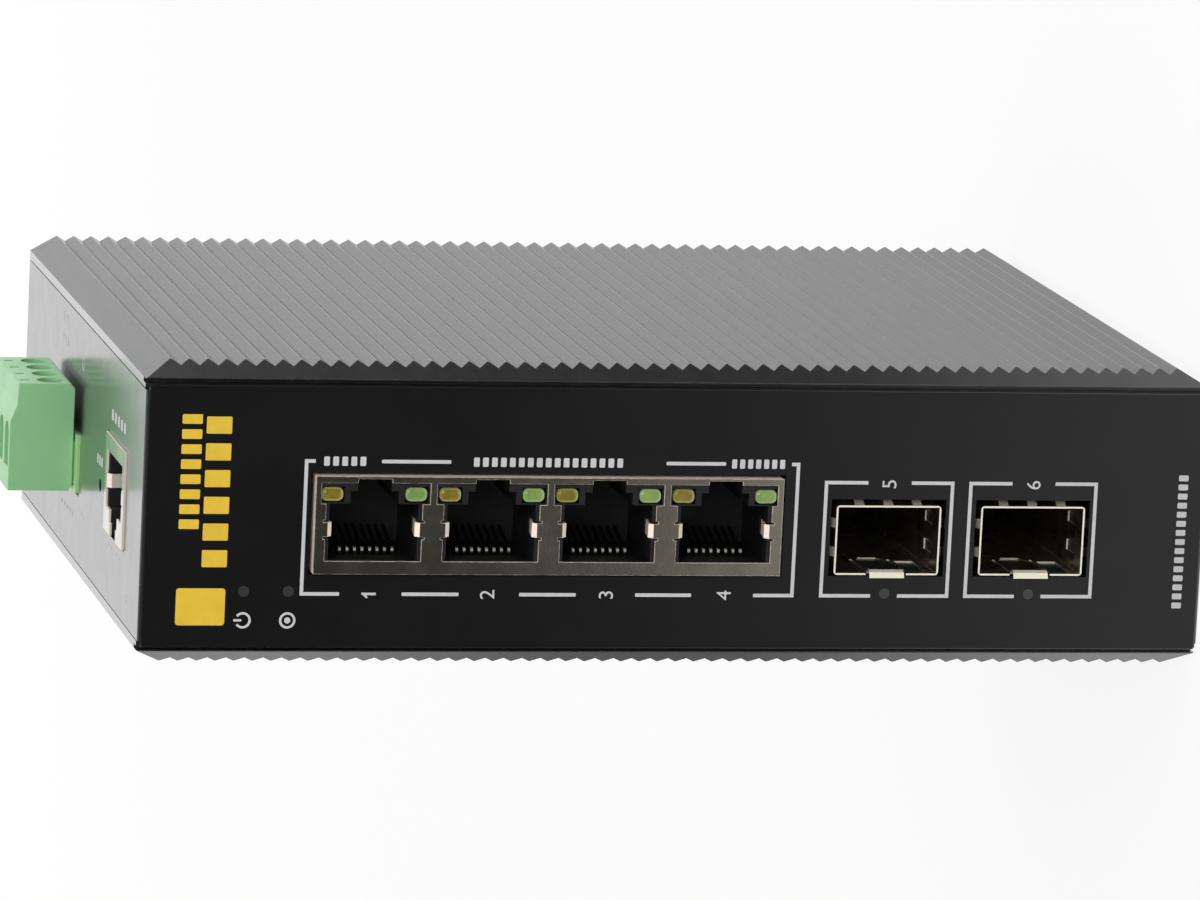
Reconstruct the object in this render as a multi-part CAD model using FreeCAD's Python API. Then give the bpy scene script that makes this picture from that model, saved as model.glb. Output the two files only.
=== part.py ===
import FreeCAD, Part
import math
import os

# DIN rail Ethernet switch, in millimetres.
#
# It is modelled in the case's own directions: x across the case, y back from
# the face of the front film, z up from the lower end. On export everything is
# moved so that the origin is the middle of the DIN rail's front plane.
# Connectors are built lying on the board (u across, v up from the board,
# w inwards from the panel) and then placed on the front or on the upper end.

V = FreeCAD.Vector

# ---------------------------------------------------------------- sizes

CASE_H = 145.6            # between the outer faces of the two ends
CASE_W = 40.7             # over the rib peaks of the two side covers
CASE_D = 106.0            # from the front film to the rear plate
SHEET = 1.0               # folded steel sheet of the chassis and rear plate
BEND_R = 0.5              # outside radius of the folds

COVER_T = 3.35            # side cover, from its inner face to the rib peaks
RIB_COUNT = 56
RIB_FLANK_DEG = 30.0
RIB_ROUND = 0.25          # radius on each rib peak
END_MARGIN = 3.75         # from the cover's end to its first rib peak
COVER_GAP = 0.15          # between a side cover and the chassis ends
FRONT_OVERLAP = 0.6       # how far the front plate laps over a side cover
GROOVE_DEPTH = 1.6        # shadow groove beside the front plate
LIP_LAND = 0.15           # flat on the cover's front edge before its bevel

FILM_T = 0.25             # printed film on the front plate
FILM_SIDE = 0.15          # metal left bare beside the film
FILM_END = 0.55           # metal left bare above and below the film

SCREW_R = 1.5             # M3 screws, threads left out
SCREW_HEAD_R = 2.75
SCREW_CLEAR = 0.05        # radial play of a screw in its hole
PORT_R = 3.0              # screw channel inside a side cover
PORT_X_IN = 2.4           # its axis, in from the cover's inner face
PORT_EDGE = 6.0           # its axis, from the case's end
COVER_SCREW_L = 9.0

BOARD_T = 1.6
BOARD_TOP_X = -7.4        # component side of the main board
BOARD_FRONT = 3.0         # from the film to the board's front edge
BOARD_REAR = 4.0          # from the board to the rear plate
BOARD_END = 2.5           # from the case's ends to the board
STANDOFF_R = 2.75         # half the width across the corners
BOARD_SCREW_L = 6.0
BOARD_HEAD_T = 1.9

SOCKET_W = 12.0           # modular socket, main cavity
OPENING_W = 13.0          # and the opening before it in the shield
SOCKET_H = 7.7
SOCKET_DEPTH = 13.5
LATCH_BASE_W = 6.5        # wide step of the latch slot
LATCH_BASE_H = 1.7
LATCH_TIP_W = 4.6         # narrow step of the latch slot
CONTACT_PITCH = 1.016
CONTACT_COUNT = 8
CONTACT_W = 0.35
CONTACT_RISE = 2.7        # free height of a contact above the socket floor
CONTACT_SLOT = 0.1        # room on each side of a contact
CONTACT_IN = 4.8          # from a socket's mouth to its contacts
CONTACT_T = 0.3
CONTACT_END = 12.2        # from the mouth to their free ends
CONTACT_BEND = 0.45       # from the socket's floor to their bend
CAN_T = 0.3               # shield sheet
CAN_FIT = 0.05            # room between a shield and its moulding
FINGER_H = 1.9            # earthing fingers beside each socket
FINGER_L = 4.0
FINGER_IN = 0.6           # from the opening's edge to their fold
FINGER_GAP = 0.35         # notch in the shield above and below each

PORT_COUNT = 4
PORT_PITCH = 15.88
PORT_BLOCK_DOWN = 54.67   # middle of the port block, down from the upper end
PORT_BLOCK_H = 13.15
PORT_BLOCK_D = 25.2
PORT_PROUD = 1.2          # in front of the film
PORT_FLOOR = 1.75         # socket floor above the board
PORT_FINGER_UP = 3.3      # earthing fingers above the socket floor
PORT_CUT_SIDE = 0.5       # room around the block in the front plate
PORT_CUT_EDGE = 0.35
LED_OFFSET = 5.65         # port lamps, either side of the socket's middle
LED_W = 3.0
LED_H = 1.9
LED_UP = 1.25             # lamp's middle above the socket's cavity
LED_L = 6.0
LED_ROUND = 0.8           # lamp's corners, and the edge of its front
LED_DOME = 0.55
LED_FRAME = 0.75          # shield left beside the lamp windows at the block's ends
LED_RIB = 0.9             # shield left between two ports' lamp windows
LED_TOP = 0.85            # shield left above a lamp pocket

CAGE_W = 14.5             # transceiver cage, outside
CAGE_H = 9.5
CAGE_L = 48.0
CAGE_T = 0.25
UPPER_CAGE_DOWN = 101.35  # middles of the two cages, down from the upper end
LOWER_CAGE_DOWN = 121.4
CAGE_PROUD = 0.2
CAGE_CUT_SIDE = 0.7       # room around a cage in the front plate
CAGE_CUT_TOP = 0.8
CAGE_CUT_FLOOR = 0.2
SPRING_BULGE = 0.6        # how far a cage's earthing springs stand out
SPRING_W = 1.3
SPRING_BACK = 0.35        # from the mouth to the springs
SPRING_RISE = 1.0         # from there to their crest
SPRING_L = 5.4
SPRING_PITCH = 4.0        # across the cage's top
SIDE_PITCH = 3.9          # between two springs or windows on a cage's side
SIDE_MID = 5.05           # and their middle
WINDOW_H = 1.4            # windows in the cage's sides
WINDOW_BACK = 3.4
WINDOW_L = 4.2
TAB_L = 1.2               # tab bent in at a window's far end
TAB_IN = 0.25
LIP_W = 4.8               # rolled lip of the latch tongue at the mouth
LIP_TOP = 0.75
LIP_LOW = 0.3
LIP_OUT = 0.6
LIP_BACK = 1.4
FLOOR_SLIT = 0.4          # beside the latch tongue in the cage's floor
FLOOR_SLIT_L = 9.5
FLOOR_HOLE_W = 2.6        # keying hole beside the tongue
FLOOR_HOLE_L = 7.5
FLOOR_HOLE_BACK = 0.9
HOST_W = 11.2             # edge connector inside a cage
HOST_H = 4.6
HOST_L = 7.6
HOST_BACK = 1.2           # from the cage's rear wall
HOST_SIDE = 0.8           # wall beside its slot
HOST_SLOT_LOW = 1.7
HOST_SLOT_TOP = 3.2
HOST_SLOT_END = 2.0       # wall behind the slot
HOST_CONTACTS = 10        # contacts on each side of the slot
HOST_PITCH = 0.8
HOST_CONTACT_W = 0.3
HOST_CONTACT_T = 0.2
HOST_CONTACT_IN = 1.0     # from the mouth to the contacts
HOST_PLAY = 0.05

JACK_W = 16.0             # console socket, outside
JACK_H = 13.3
JACK_D = 18.0
JACK_MID = 22.0           # its middle, back from the film
JACK_PROUD = 0.3          # above the case's end
JACK_CUT = 0.2            # room around it in the sheet
JACK_FLOOR = 3.4          # its cavity above the board
JACK_FINGER_UP = 2.5      # earthing fingers above that

RESET_MID = 35.4          # reset button's axis, back from the film
RESET_UP = 4.8            # and above the board
RESET_HOLE_R = 0.9
RESET_BODY_W = 6.2
RESET_BODY_H = 7.2
RESET_BODY_L = 3.8
RESET_INSET = 2.4         # from the inner face of the sheet to the body
RESET_PLUNGER_R = 1.6
RESET_REACH = 1.2         # plunger's free height
RESET_PLAY = 0.1

WINDOW_X = -10.0          # status lamps' windows, across the case
WINDOW_R = 0.8
PIPE_R = 0.95
PIPE_L = 8.5
PIPE_PLAY = 0.05
POWER_WINDOW_DOWN = 13.95  # windows, down from the upper end
RUN_WINDOW_DOWN = 19.95
STATUS_LED = 1.8          # side of a status lamp's body

WAYS = 4                  # terminal block
WAY_PITCH = 5.08
TERMINAL_MID = 66.2       # its middle, back from the film
HEADER_HALF_W = 12.0
HEADER_H = 8.15
HEADER_L = 12.0
HEADER_PROUD = 0.45
HEADER_WALL = 0.8
HEADER_SIDE = 1.7
HEADER_BACK = 3.0
HEADER_CUT = 0.4
PIN_T = 1.0
PIN_UP = 4.0
PIN_TIP = 2.0             # pin's tip, in from the case's end
PIN_TAIL = 2.6            # tail below the board
PLUG_HALF_W = 10.5
PLUG_H = 15.0
PLUG_FLOOR = 0.1          # plug's underside above the board
PLUG_OUT = 9.6            # plug's wire side above the case's end
PLUG_SHOULDER = 0.7       # plug's inner face above the case's end
PLUG_FOOT = 1.2           # corners of that face, below and above
PLUG_FOOT_UP = 1.1
PLUG_BROW = 1.3
PLUG_BROW_DOWN = 0.6
PLUG_WALL_UP = 9.7        # wire side, up to its slope
PLUG_WALL_LEAN = 0.05
PLUG_SLOPE_UP = 12.0      # and to the end of the slope
PLUG_SLOPE_IN = 0.95
PLUG_TOP_IN = 1.1
PLUG_FIT = 0.25           # room round the plug's tongue in the header
TONGUE_L = 8.2
WIRE_W = 3.7              # wire entry
WIRE_H = 6.1
MOUTH_L = 2.2
WIRE_UP = 6.25
CLAMP_MID = 3.75          # screws and clamps, above the case's end
CLAMP_W = 3.3
CLAMP_L = 3.6
CLAMP_LOW = 3.4
CLAMP_H = 5.5
CLAMP_WALL = 0.4
CLAMP_TRAVEL = 1.75
CLAMP_PLAY = 0.2
CLAMP_SCREW_R = 1.2
CLAMP_HEAD_R = 1.65
CLAMP_HEAD_T = 1.4
CLAMP_HEAD_UP = 11.6
SHAFT_R = 1.85            # screwdriver hole above a clamp screw
STRIP_T = 0.5
STRIP_W = 1.8
STRIP_UP = 6.4

RAIL_W = 35.0             # DIN rail, 35 x 7.5
RAIL_T = 1.0
CLIP_T = 5.0              # clip base between the rear plate and the rail
CLIP_W = 28.0
CLIP_ABOVE = 26.0         # clip base above and below the rail's middle
CLIP_BELOW = 34.0
RAIL_PLAY = 0.4           # between the rail's flange and a hook
HOOK_T = 1.9
HOOK_LAP = 2.7            # how far a hook reaches over the rail
HOOK_WALL = 2.6
LATCH_W = 14.6
LATCH_T = 2.6
LATCH_NOSE_W = 12.0
LATCH_TRAVEL = 4.5
LATCH_TAB = 8.0           # pull tab below the clip base
LATCH_TOP = 2.5           # latch bar's top, below the rail's middle
LATCH_PLAY = 0.2
SPRING_R = 1.05           # latch spring, to the middle of its wire
SPRING_WIRE = 0.4
SPRING_TURNS = 5
SPRING_SLOT = 10.6        # slot that holds the spring
PEG_H = 2.0
CLIP_SCREW_X = 10.8
CLIP_SCREW_UP = 11.0
CLIP_SCREW_DOWN = 28.0
CLIP_SCREW_L = 7.5
NUT_R = 2.9

STANDOFF_IN = 5.0         # front posts, from the board's front edge
STANDOFF_IN_UPPER = 41.0
STANDOFF_BACK = 10.0      # rear posts, from the rear plate
STANDOFF_END = 13.5       # from the case's ends
STANDOFF_GAP_DOWN = 90.3  # post between the ports and the cages, from the upper end

CHIP_Y = 62.0             # switch chip on the board's solder side
CHIP_DOWN = 57.6          # down from the upper end
CHIP_W = 17.0
CHIP_T = 1.4
PAD_T = 1.0
PAD_IN = 0.5              # from the chip's edge to the pad's

# The board's other parts: back from the film, down from the upper end,
# then depth, height and thickness, or radius and height.
PHY_UPPER = (44.0, 45.6, 12.0, 12.0, 1.2)
PHY_LOWER = (44.0, 67.6, 12.0, 12.0, 1.2)
MEMORY = (62.0, 83.6, 8.0, 12.0, 1.1)
REGULATOR = (62.0, 39.6, 6.0, 5.0, 1.6)
SUPERVISOR = (78.0, 83.6, 5.0, 6.2, 1.5)
INDUCTOR_UPPER = (82.0, 57.6, 10.0, 10.0, 4.5)
INDUCTOR_LOWER = (82.0, 70.6, 10.0, 10.0, 4.5)
INDUCTOR_CORNER = 2.0
TRANSFORMER = (76.0, 22.0, 12.0, 14.0, 10.0)
TRANSFORMER_FLANGE = 2.5
TRANSFORMER_POST = 3.4
CAN_UPPER_PAIR = (88.0, 29.6, 5.0, 12.5)
CAN_LOWER_PAIR = (90.0, 101.6, 4.0, 11.5)
CAN_SPACING = 2.0         # between the two cans of a pair
CAN_NECK = 2.2            # groove above the can's foot
CAN_NECK_R = 0.6
CAN_NECK_OUT = 0.35

# ---------------------------------------------------- worked out from them

PEAK_X = CASE_W / 2
COVER_IN_X = PEAK_X - COVER_T
SLOPE = math.tan(math.radians(RIB_FLANK_DEG))
FLANK_COS = math.cos(math.radians(RIB_FLANK_DEG))
FLANK_SIN = math.sin(math.radians(RIB_FLANK_DEG))
RIB_PITCH = (CASE_H - 2 * END_MARGIN) / (RIB_COUNT - 1)
APEX_X = PEAK_X + RIB_ROUND * (1 / FLANK_COS - 1)
LIP_X = APEX_X - END_MARGIN * SLOPE
VALLEY_X = APEX_X - RIB_PITCH / 2 * SLOPE
END_HALF_W = COVER_IN_X - COVER_GAP
FRONT_HALF_W = COVER_IN_X + FRONT_OVERLAP
PLATE_Y = FILM_T + SHEET
REAR_Y = CASE_D - SHEET
SCREW_HOLE_R = SCREW_R + SCREW_CLEAR
PORT_X = COVER_IN_X - PORT_X_IN
PORT_HEIGHTS = (PORT_EDGE, CASE_H - PORT_EDGE)
BOARD_LOW_X = BOARD_TOP_X - BOARD_T
BLOCK_HALF_W = PORT_COUNT * PORT_PITCH / 2
PORT_BLOCK_MID = CASE_H - PORT_BLOCK_DOWN
CAGE_MIDS = (CASE_H - LOWER_CAGE_DOWN, CASE_H - UPPER_CAGE_DOWN)
WINDOW_HEIGHTS = (
    CAGE_MIDS[0],
    CAGE_MIDS[1],
    CASE_H - RUN_WINDOW_DOWN,
    CASE_H - POWER_WINDOW_DOWN,
)
RAIL_Y = CASE_D + CLIP_T
RAIL_Z = CASE_H / 2
STANDOFF_SPOTS = (
    (BOARD_FRONT + STANDOFF_IN, CASE_H - STANDOFF_GAP_DOWN),
    (BOARD_FRONT + STANDOFF_IN_UPPER, CASE_H - STANDOFF_END),
    (REAR_Y - STANDOFF_BACK, STANDOFF_END),
    (REAR_Y - STANDOFF_BACK, CASE_H - STANDOFF_END),
)


# ---------------------------------------------------------------- tools

def block(x0, x1, y0, y1, z0, z1):
    return Part.makeBox(x1 - x0, y1 - y0, z1 - z0, V(x0, y0, z0))


def rod(start, direction, radius, length):
    return Part.makeCylinder(radius, length, start, direction)


def prism(points, sweep):
    wire = Part.makePolygon(points + points[:1])
    return Part.Face(wire).extrude(sweep)


def join(shapes):
    first = shapes[0]
    if len(shapes) > 1:
        first = first.fuse(shapes[1:])
    return first.removeSplitter()


def group(shapes):
    return Part.makeCompound(shapes)


def spread(count, pitch):
    return [(i - (count - 1) / 2) * pitch for i in range(count)]


def on_front(shape, height):
    """Put a connector that lies on the board behind the front plate."""
    matrix = FreeCAD.Matrix(
        0, 1, 0, BOARD_TOP_X,
        0, 0, 1, 0,
        1, 0, 0, height,
        0, 0, 0, 1)
    return shape.transformed(matrix)


def on_end(shape, depth):
    """Put a connector that lies on the board under the upper end."""
    matrix = FreeCAD.Matrix(
        0, 1, 0, BOARD_TOP_X,
        1, 0, 0, depth,
        0, 0, -1, CASE_H,
        0, 0, 0, 1)
    return shape.transformed(matrix)


def flat_head_screw(point, direction, length):
    """Countersunk M3 screw: point is on the head's face."""
    head_t = SCREW_HEAD_R - SCREW_R
    head = Part.makeCone(SCREW_HEAD_R, SCREW_R, head_t, point, direction)
    shank = rod(point, direction, SCREW_R, length)
    socket = rod(point, direction, SCREW_R * 0.75, head_t * 0.7)
    return head.fuse(shank).removeSplitter().cut(socket)


def flat_head_hole(point, direction, length):
    head_t = SCREW_HEAD_R - SCREW_R
    top_r = SCREW_HEAD_R + SCREW_CLEAR
    head = Part.makeCone(top_r, SCREW_HOLE_R, head_t, point, direction)
    return head.fuse(rod(point, direction, SCREW_HOLE_R, length))


# ---------------------------------------------------------------- casing

def cover_section(y):
    """Section of the right cover: inner face, end slopes and ribs."""
    edges = []
    pen = V(COVER_IN_X, y, 0)

    def draw_to(x, z):
        nonlocal pen
        end = V(x, y, z)
        edges.append(Part.LineSegment(pen, end).toShape())
        pen = end

    draw_to(LIP_X, 0)
    round_x = PEAK_X - RIB_ROUND
    side_x = round_x + RIB_ROUND * FLANK_COS
    side_z = RIB_ROUND * FLANK_SIN
    for i in range(RIB_COUNT):
        z = END_MARGIN + i * RIB_PITCH
        draw_to(side_x, z - side_z)
        tip = V(PEAK_X, y, z)
        end = V(side_x, y, z + side_z)
        edges.append(Part.Arc(pen, tip, end).toShape())
        pen = end
        if i < RIB_COUNT - 1:
            draw_to(VALLEY_X, z + RIB_PITCH / 2)
    draw_to(LIP_X, CASE_H)
    draw_to(COVER_IN_X, CASE_H)
    draw_to(COVER_IN_X, 0)
    return Part.Face(Part.Wire(edges))


def cover_body():
    plate = cover_section(PLATE_Y).extrude(V(0, CASE_D - PLATE_Y, 0))
    bevel_x = LIP_X + LIP_LAND
    far_x = PEAK_X + 1
    far_y = PLATE_Y + (far_x - bevel_x) / SLOPE
    bevel = prism([
        V(bevel_x, PLATE_Y - 1, -1),
        V(far_x, PLATE_Y - 1, -1),
        V(far_x, far_y, -1),
        V(bevel_x, PLATE_Y, -1)], V(0, 0, CASE_H + 2))
    groove = block(FRONT_HALF_W, LIP_X, PLATE_Y - 1, PLATE_Y + GROOVE_DEPTH, -1, CASE_H + 1)
    channels = [
        rod(V(PORT_X, PLATE_Y, z), V(0, 1, 0), PORT_R, REAR_Y - PLATE_Y)
        for z in PORT_HEIGHTS]
    body = join([plate.cut([bevel, groove])] + channels)
    rim = block(COVER_IN_X - PORT_R * 3, COVER_IN_X, REAR_Y, CASE_D + 1, -1, CASE_H + 1)
    holes = [flat_head_hole(V(PORT_X, FILM_T, z), V(0, 1, 0), CASE_D) for z in PORT_HEIGHTS]
    holes += [flat_head_hole(V(PORT_X, CASE_D, z), V(0, -1, 0), 5) for z in PORT_HEIGHTS]
    return body.cut(holes + [rim])


def side_cover_right():
    return cover_body()


def side_cover_left():
    body = cover_body().mirror(V(0, 0, 0), V(1, 0, 0))
    pedestal_x = BOARD_LOW_X - CHIP_T - PAD_T
    return join([body, under_board(-COVER_IN_X, pedestal_x, CHIP_W)])


def front_openings(y0, y1):
    """Everything that the front plate and its film are cut out for."""
    side = BLOCK_HALF_W + PORT_CUT_SIDE
    top = BOARD_TOP_X + PORT_BLOCK_H + PORT_CUT_EDGE
    low = BOARD_TOP_X - PORT_CUT_EDGE
    cuts = [block(low, top, y0, y1, PORT_BLOCK_MID - side, PORT_BLOCK_MID + side)]
    for z in CAGE_MIDS:
        side = CAGE_W / 2 + CAGE_CUT_SIDE
        top = BOARD_TOP_X + CAGE_H + CAGE_CUT_TOP
        low = BOARD_TOP_X - CAGE_CUT_FLOOR
        cuts.append(block(low, top, y0, y1, z - side, z + side))
    return cuts


def chassis():
    """One sheet: the front and, folded back from it, the two ends."""
    low = FILM_T + BEND_R
    turn = BEND_R * (1 - math.sqrt(0.5))
    x = -END_HALF_W
    path = [
        V(x, REAR_Y, 0), V(x, low, 0),
        V(x, FILM_T, BEND_R), V(x, FILM_T, CASE_H - BEND_R),
        V(x, low, CASE_H), V(x, REAR_Y, CASE_H),
        V(x, REAR_Y, CASE_H - SHEET), V(x, PLATE_Y, CASE_H - SHEET),
        V(x, PLATE_Y, SHEET), V(x, REAR_Y, SHEET)]
    arcs = {
        1: V(x, FILM_T + turn, turn),
        3: V(x, FILM_T + turn, CASE_H - turn)}
    edges = []
    for i, start in enumerate(path):
        end = path[(i + 1) % len(path)]
        if i in arcs:
            edges.append(Part.Arc(start, arcs[i], end).toShape())
        else:
            edges.append(Part.LineSegment(start, end).toShape())
    folded = Part.Face(Part.Wire(edges)).extrude(V(2 * END_HALF_W, 0, 0))
    front = block(-FRONT_HALF_W, FRONT_HALF_W, FILM_T, PLATE_Y, BEND_R, CASE_H - BEND_R)
    cuts = front_openings(-1, PLATE_Y + 1)
    for z in WINDOW_HEIGHTS:
        cuts.append(rod(V(WINDOW_X, -1, z), V(0, 1, 0), PIPE_R + PIPE_PLAY, PLATE_Y + 2))
    for x in (-PORT_X, PORT_X):
        for z in PORT_HEIGHTS:
            cuts.append(flat_head_hole(V(x, FILM_T, z), V(0, 1, 0), 3))
    cuts += end_openings()
    return join([folded, front]).cut(cuts)


def end_openings():
    half = JACK_W / 2 + JACK_CUT
    jack = block(-half, half, -JACK_CUT, JACK_H + JACK_CUT, -1, SHEET + 1)
    half = HEADER_HALF_W + HEADER_CUT
    header = block(-half, half, -HEADER_CUT, HEADER_H + HEADER_CUT, -1, SHEET + 1)
    pinhole = rod(V(0, RESET_UP, -1), V(0, 0, 1), RESET_HOLE_R, SHEET + 2)
    return [on_end(jack, JACK_MID), on_end(header, TERMINAL_MID), on_end(pinhole, RESET_MID)]


def front_film():
    half = FRONT_HALF_W - FILM_SIDE
    film = block(-half, half, 0, FILM_T, FILM_END, CASE_H - FILM_END)
    cuts = front_openings(-1, FILM_T + 1)
    cuts += [rod(V(WINDOW_X, -1, z), V(0, 1, 0), WINDOW_R, 3) for z in WINDOW_HEIGHTS]
    return film.cut(cuts)


def rear_plate():
    plate = block(-END_HALF_W, END_HALF_W, REAR_Y, CASE_D, 0, CASE_H)
    cuts = []
    for x in (-PORT_X, PORT_X):
        for z in PORT_HEIGHTS:
            cuts.append(flat_head_hole(V(x, CASE_D, z), V(0, -1, 0), 3))
    for x, z in clip_screw_spots():
        cuts.append(rod(V(x, REAR_Y - 1, z), V(0, 1, 0), SCREW_HOLE_R, SHEET + 2))
    return plate.cut(cuts)


def cover_screws(face_y, direction):
    return group([
        flat_head_screw(V(x, face_y, z), direction, COVER_SCREW_L)
        for x in (-PORT_X, PORT_X) for z in PORT_HEIGHTS])


# ---------------------------------------------------------------- board

def hexagon(radius):
    return [
        (radius * math.cos(math.radians(60 * i)), radius * math.sin(math.radians(60 * i)))
        for i in range(6)]


def main_board():
    board = block(
        BOARD_LOW_X, BOARD_TOP_X,
        BOARD_FRONT, REAR_Y - BOARD_REAR,
        BOARD_END, CASE_H - BOARD_END)
    cuts = [rod(V(BOARD_LOW_X - 1, y, z), V(1, 0, 0), SCREW_HOLE_R, BOARD_T + 2)
            for y, z in STANDOFF_SPOTS]
    half = PIN_T / 2 + 0.25
    for u in spread(WAYS, WAY_PITCH):
        hole = block(u - half, u + half, -BOARD_T - 1, 1, HEADER_L - 0.25, HEADER_L + PIN_T + 0.25)
        cuts.append(on_end(hole, TERMINAL_MID))
    return board.cut(cuts)


def board_standoffs():
    posts = []
    for y, z in STANDOFF_SPOTS:
        points = [V(-COVER_IN_X, y + a, z + b) for a, b in hexagon(STANDOFF_R)]
        post = prism(points, V(BOARD_LOW_X + COVER_IN_X, 0, 0))
        depth = BOARD_SCREW_L - BOARD_T + 0.5
        posts.append(post.cut(rod(V(BOARD_LOW_X, y, z), V(-1, 0, 0), SCREW_HOLE_R, depth)))
    return group(posts)


def board_screws():
    screws = []
    for y, z in STANDOFF_SPOTS:
        head = rod(V(BOARD_TOP_X, y, z), V(1, 0, 0), SCREW_HEAD_R, BOARD_HEAD_T)
        edge = head.Edges[0]
        head = head.makeFillet(BOARD_HEAD_T * 0.4, [edge])
        shank = rod(V(BOARD_TOP_X, y, z), V(-1, 0, 0), SCREW_R, BOARD_SCREW_L)
        top = BOARD_TOP_X + BOARD_HEAD_T
        reach = SCREW_HEAD_R * 0.65
        slots = [
            block(top - 0.9, top + 1, y - reach, y + reach, z - 0.3, z + 0.3),
            block(top - 0.9, top + 1, y - 0.3, y + 0.3, z - reach, z + reach)]
        screws.append(join([head, shank]).cut(slots))
    return group(screws)


def under_board(x0, x1, width):
    """Square block about the switch chip's middle."""
    half = width / 2
    z = CASE_H - CHIP_DOWN
    return block(x0, x1, CHIP_Y - half, CHIP_Y + half, z - half, z + half)


def switch_chip():
    return under_board(BOARD_LOW_X - CHIP_T, BOARD_LOW_X, CHIP_W)


def thermal_pad():
    top = BOARD_LOW_X - CHIP_T
    return under_board(top - PAD_T, top, CHIP_W - 2 * PAD_IN)


def on_board(y, down, deep, high, thick):
    z = CASE_H - down
    return block(
        BOARD_TOP_X, BOARD_TOP_X + thick,
        y - deep / 2, y + deep / 2, z - high / 2, z + high / 2)


def support_chips():
    return group([
        on_board(*sizes) for sizes in (PHY_UPPER, PHY_LOWER, MEMORY, REGULATOR, SUPERVISOR)])


def capacitors():
    cans = []
    for y, down, radius, tall in (CAN_UPPER_PAIR, CAN_LOWER_PAIR):
        for step in (0, 2 * radius + CAN_SPACING):
            z = CASE_H - down - step
            can = rod(V(BOARD_TOP_X, y, z), V(1, 0, 0), radius, tall)
            neck = Part.makeTorus(
                radius + CAN_NECK_OUT, CAN_NECK_R, V(BOARD_TOP_X + CAN_NECK, y, z), V(1, 0, 0))
            cans.append(can.cut(neck))
    return group(cans)


def edges_along(shape, axis):
    return [e for e in shape.Edges if abs(e.tangentAt(e.FirstParameter).dot(axis)) > 0.9]


def power_inductors():
    coils = []
    for sizes in (INDUCTOR_UPPER, INDUCTOR_LOWER):
        coil = on_board(*sizes)
        coils.append(coil.makeChamfer(INDUCTOR_CORNER, edges_along(coil, V(1, 0, 0))))
    return group(coils)


def power_transformer():
    y, down, deep, high, tall = TRANSFORMER
    core = on_board(*TRANSFORMER)
    low = BOARD_TOP_X + TRANSFORMER_FLANGE
    top = BOARD_TOP_X + tall - TRANSFORMER_FLANGE
    z = CASE_H - down
    reach = high / 2 - TRANSFORMER_FLANGE
    window = block(low, top, y - deep, y + deep, z - reach, z + reach)
    post = rod(V(low, y, z), V(1, 0, 0), TRANSFORMER_POST, top - low)
    return join([core.cut(window), post])


# ------------------------------------------------------- modular sockets

def socket_hollow(middle, floor, up, depth):
    """Cavity and latch slot; up is 1 when the latch is away from the board."""
    top = floor + SOCKET_H
    near, far = (top, top + LATCH_BASE_H) if up > 0 else (floor, floor - LATCH_BASE_H)
    reach = far + up * 20
    half = SOCKET_W / 2
    cavity = block(middle - half, middle + half, floor, top, -2, depth)
    half = LATCH_BASE_W / 2
    base = block(middle - half, middle + half, min(near, far), max(near, far), -2, depth)
    half = LATCH_TIP_W / 2
    tip = block(middle - half, middle + half, min(near, reach), max(near, reach), -2, depth)
    return cavity, base, tip


def contact_row(middle, root, free, face):
    """Eight bent wires; root is the socket side that they spring from."""
    lift = 1 if free > root else -1
    near = CONTACT_IN
    inner = CONTACT_IN + CONTACT_T
    outline = [
        (near, root - lift * PORT_FLOOR), (inner, root - lift * PORT_FLOOR),
        (inner, root + lift * CONTACT_BEND), (CONTACT_END, free - lift * CONTACT_T),
        (CONTACT_END - 0.1, free), (near, root + lift * (CONTACT_BEND + 0.4))]
    wires = []
    for u in spread(CONTACT_COUNT, CONTACT_PITCH):
        points = [V(middle + u - CONTACT_W / 2, v, w + face) for w, v in outline]
        wires.append(prism(points, V(CONTACT_W, 0, 0)))
    return wires


def contact_slots(middle, root, lift, face):
    """Comb in the moulding that keeps the wires apart."""
    half = CONTACT_W / 2 + CONTACT_SLOT
    low = root - lift * (PORT_FLOOR + 1)
    high = root + lift * 1
    return [
        block(middle + u - half, middle + u + half, min(low, high), max(low, high),
              face + CONTACT_IN - 0.2, face + CONTACT_END + 0.4)
        for u in spread(CONTACT_COUNT, CONTACT_PITCH)]


def earth_fingers(middle, v, face):
    """Two tongues of the shield, folded in beside a socket."""
    half = OPENING_W / 2
    tongues = []
    for side in (-1, 1):
        edge = middle + side * half
        fold = middle + side * (half - FINGER_IN)
        tip = middle + side * (half - FINGER_IN / 3)
        points = [
            V(edge, v, face), V(edge, v, face + CAN_T),
            V(fold, v, face + FINGER_IN + CAN_T), V(tip, v, face + FINGER_L),
            V(tip - side * CAN_T, v, face + FINGER_L),
            V(fold - side * CAN_T, v, face + FINGER_IN), V(edge - side * CAN_T, v, face)]
        tongues.append(prism(points, V(0, FINGER_H, 0)))
    return tongues


def finger_notches(middle, v, face):
    """Notches in the shield's face above and below each earthing finger."""
    half = OPENING_W / 2 + FINGER_GAP
    return [
        block(middle - half, middle + half, low, low + FINGER_GAP, face - 1, face + CAN_T)
        for low in (v - FINGER_GAP, v + FINGER_H)]


def finger_pockets(middle, v, face):
    """Room in the moulding for the earthing fingers."""
    half = OPENING_W / 2 + CAN_FIT
    return block(middle - half, middle + half, v - 0.2, v + FINGER_H + 0.2,
                 face - 1, face + FINGER_L + 0.5)


def shield_opening(middle, floor, face):
    half = OPENING_W / 2
    return block(middle - half, middle + half, floor, floor + SOCKET_H, face - 1, face + CAN_T)


def port_middles():
    return spread(PORT_COUNT, PORT_PITCH)


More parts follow.
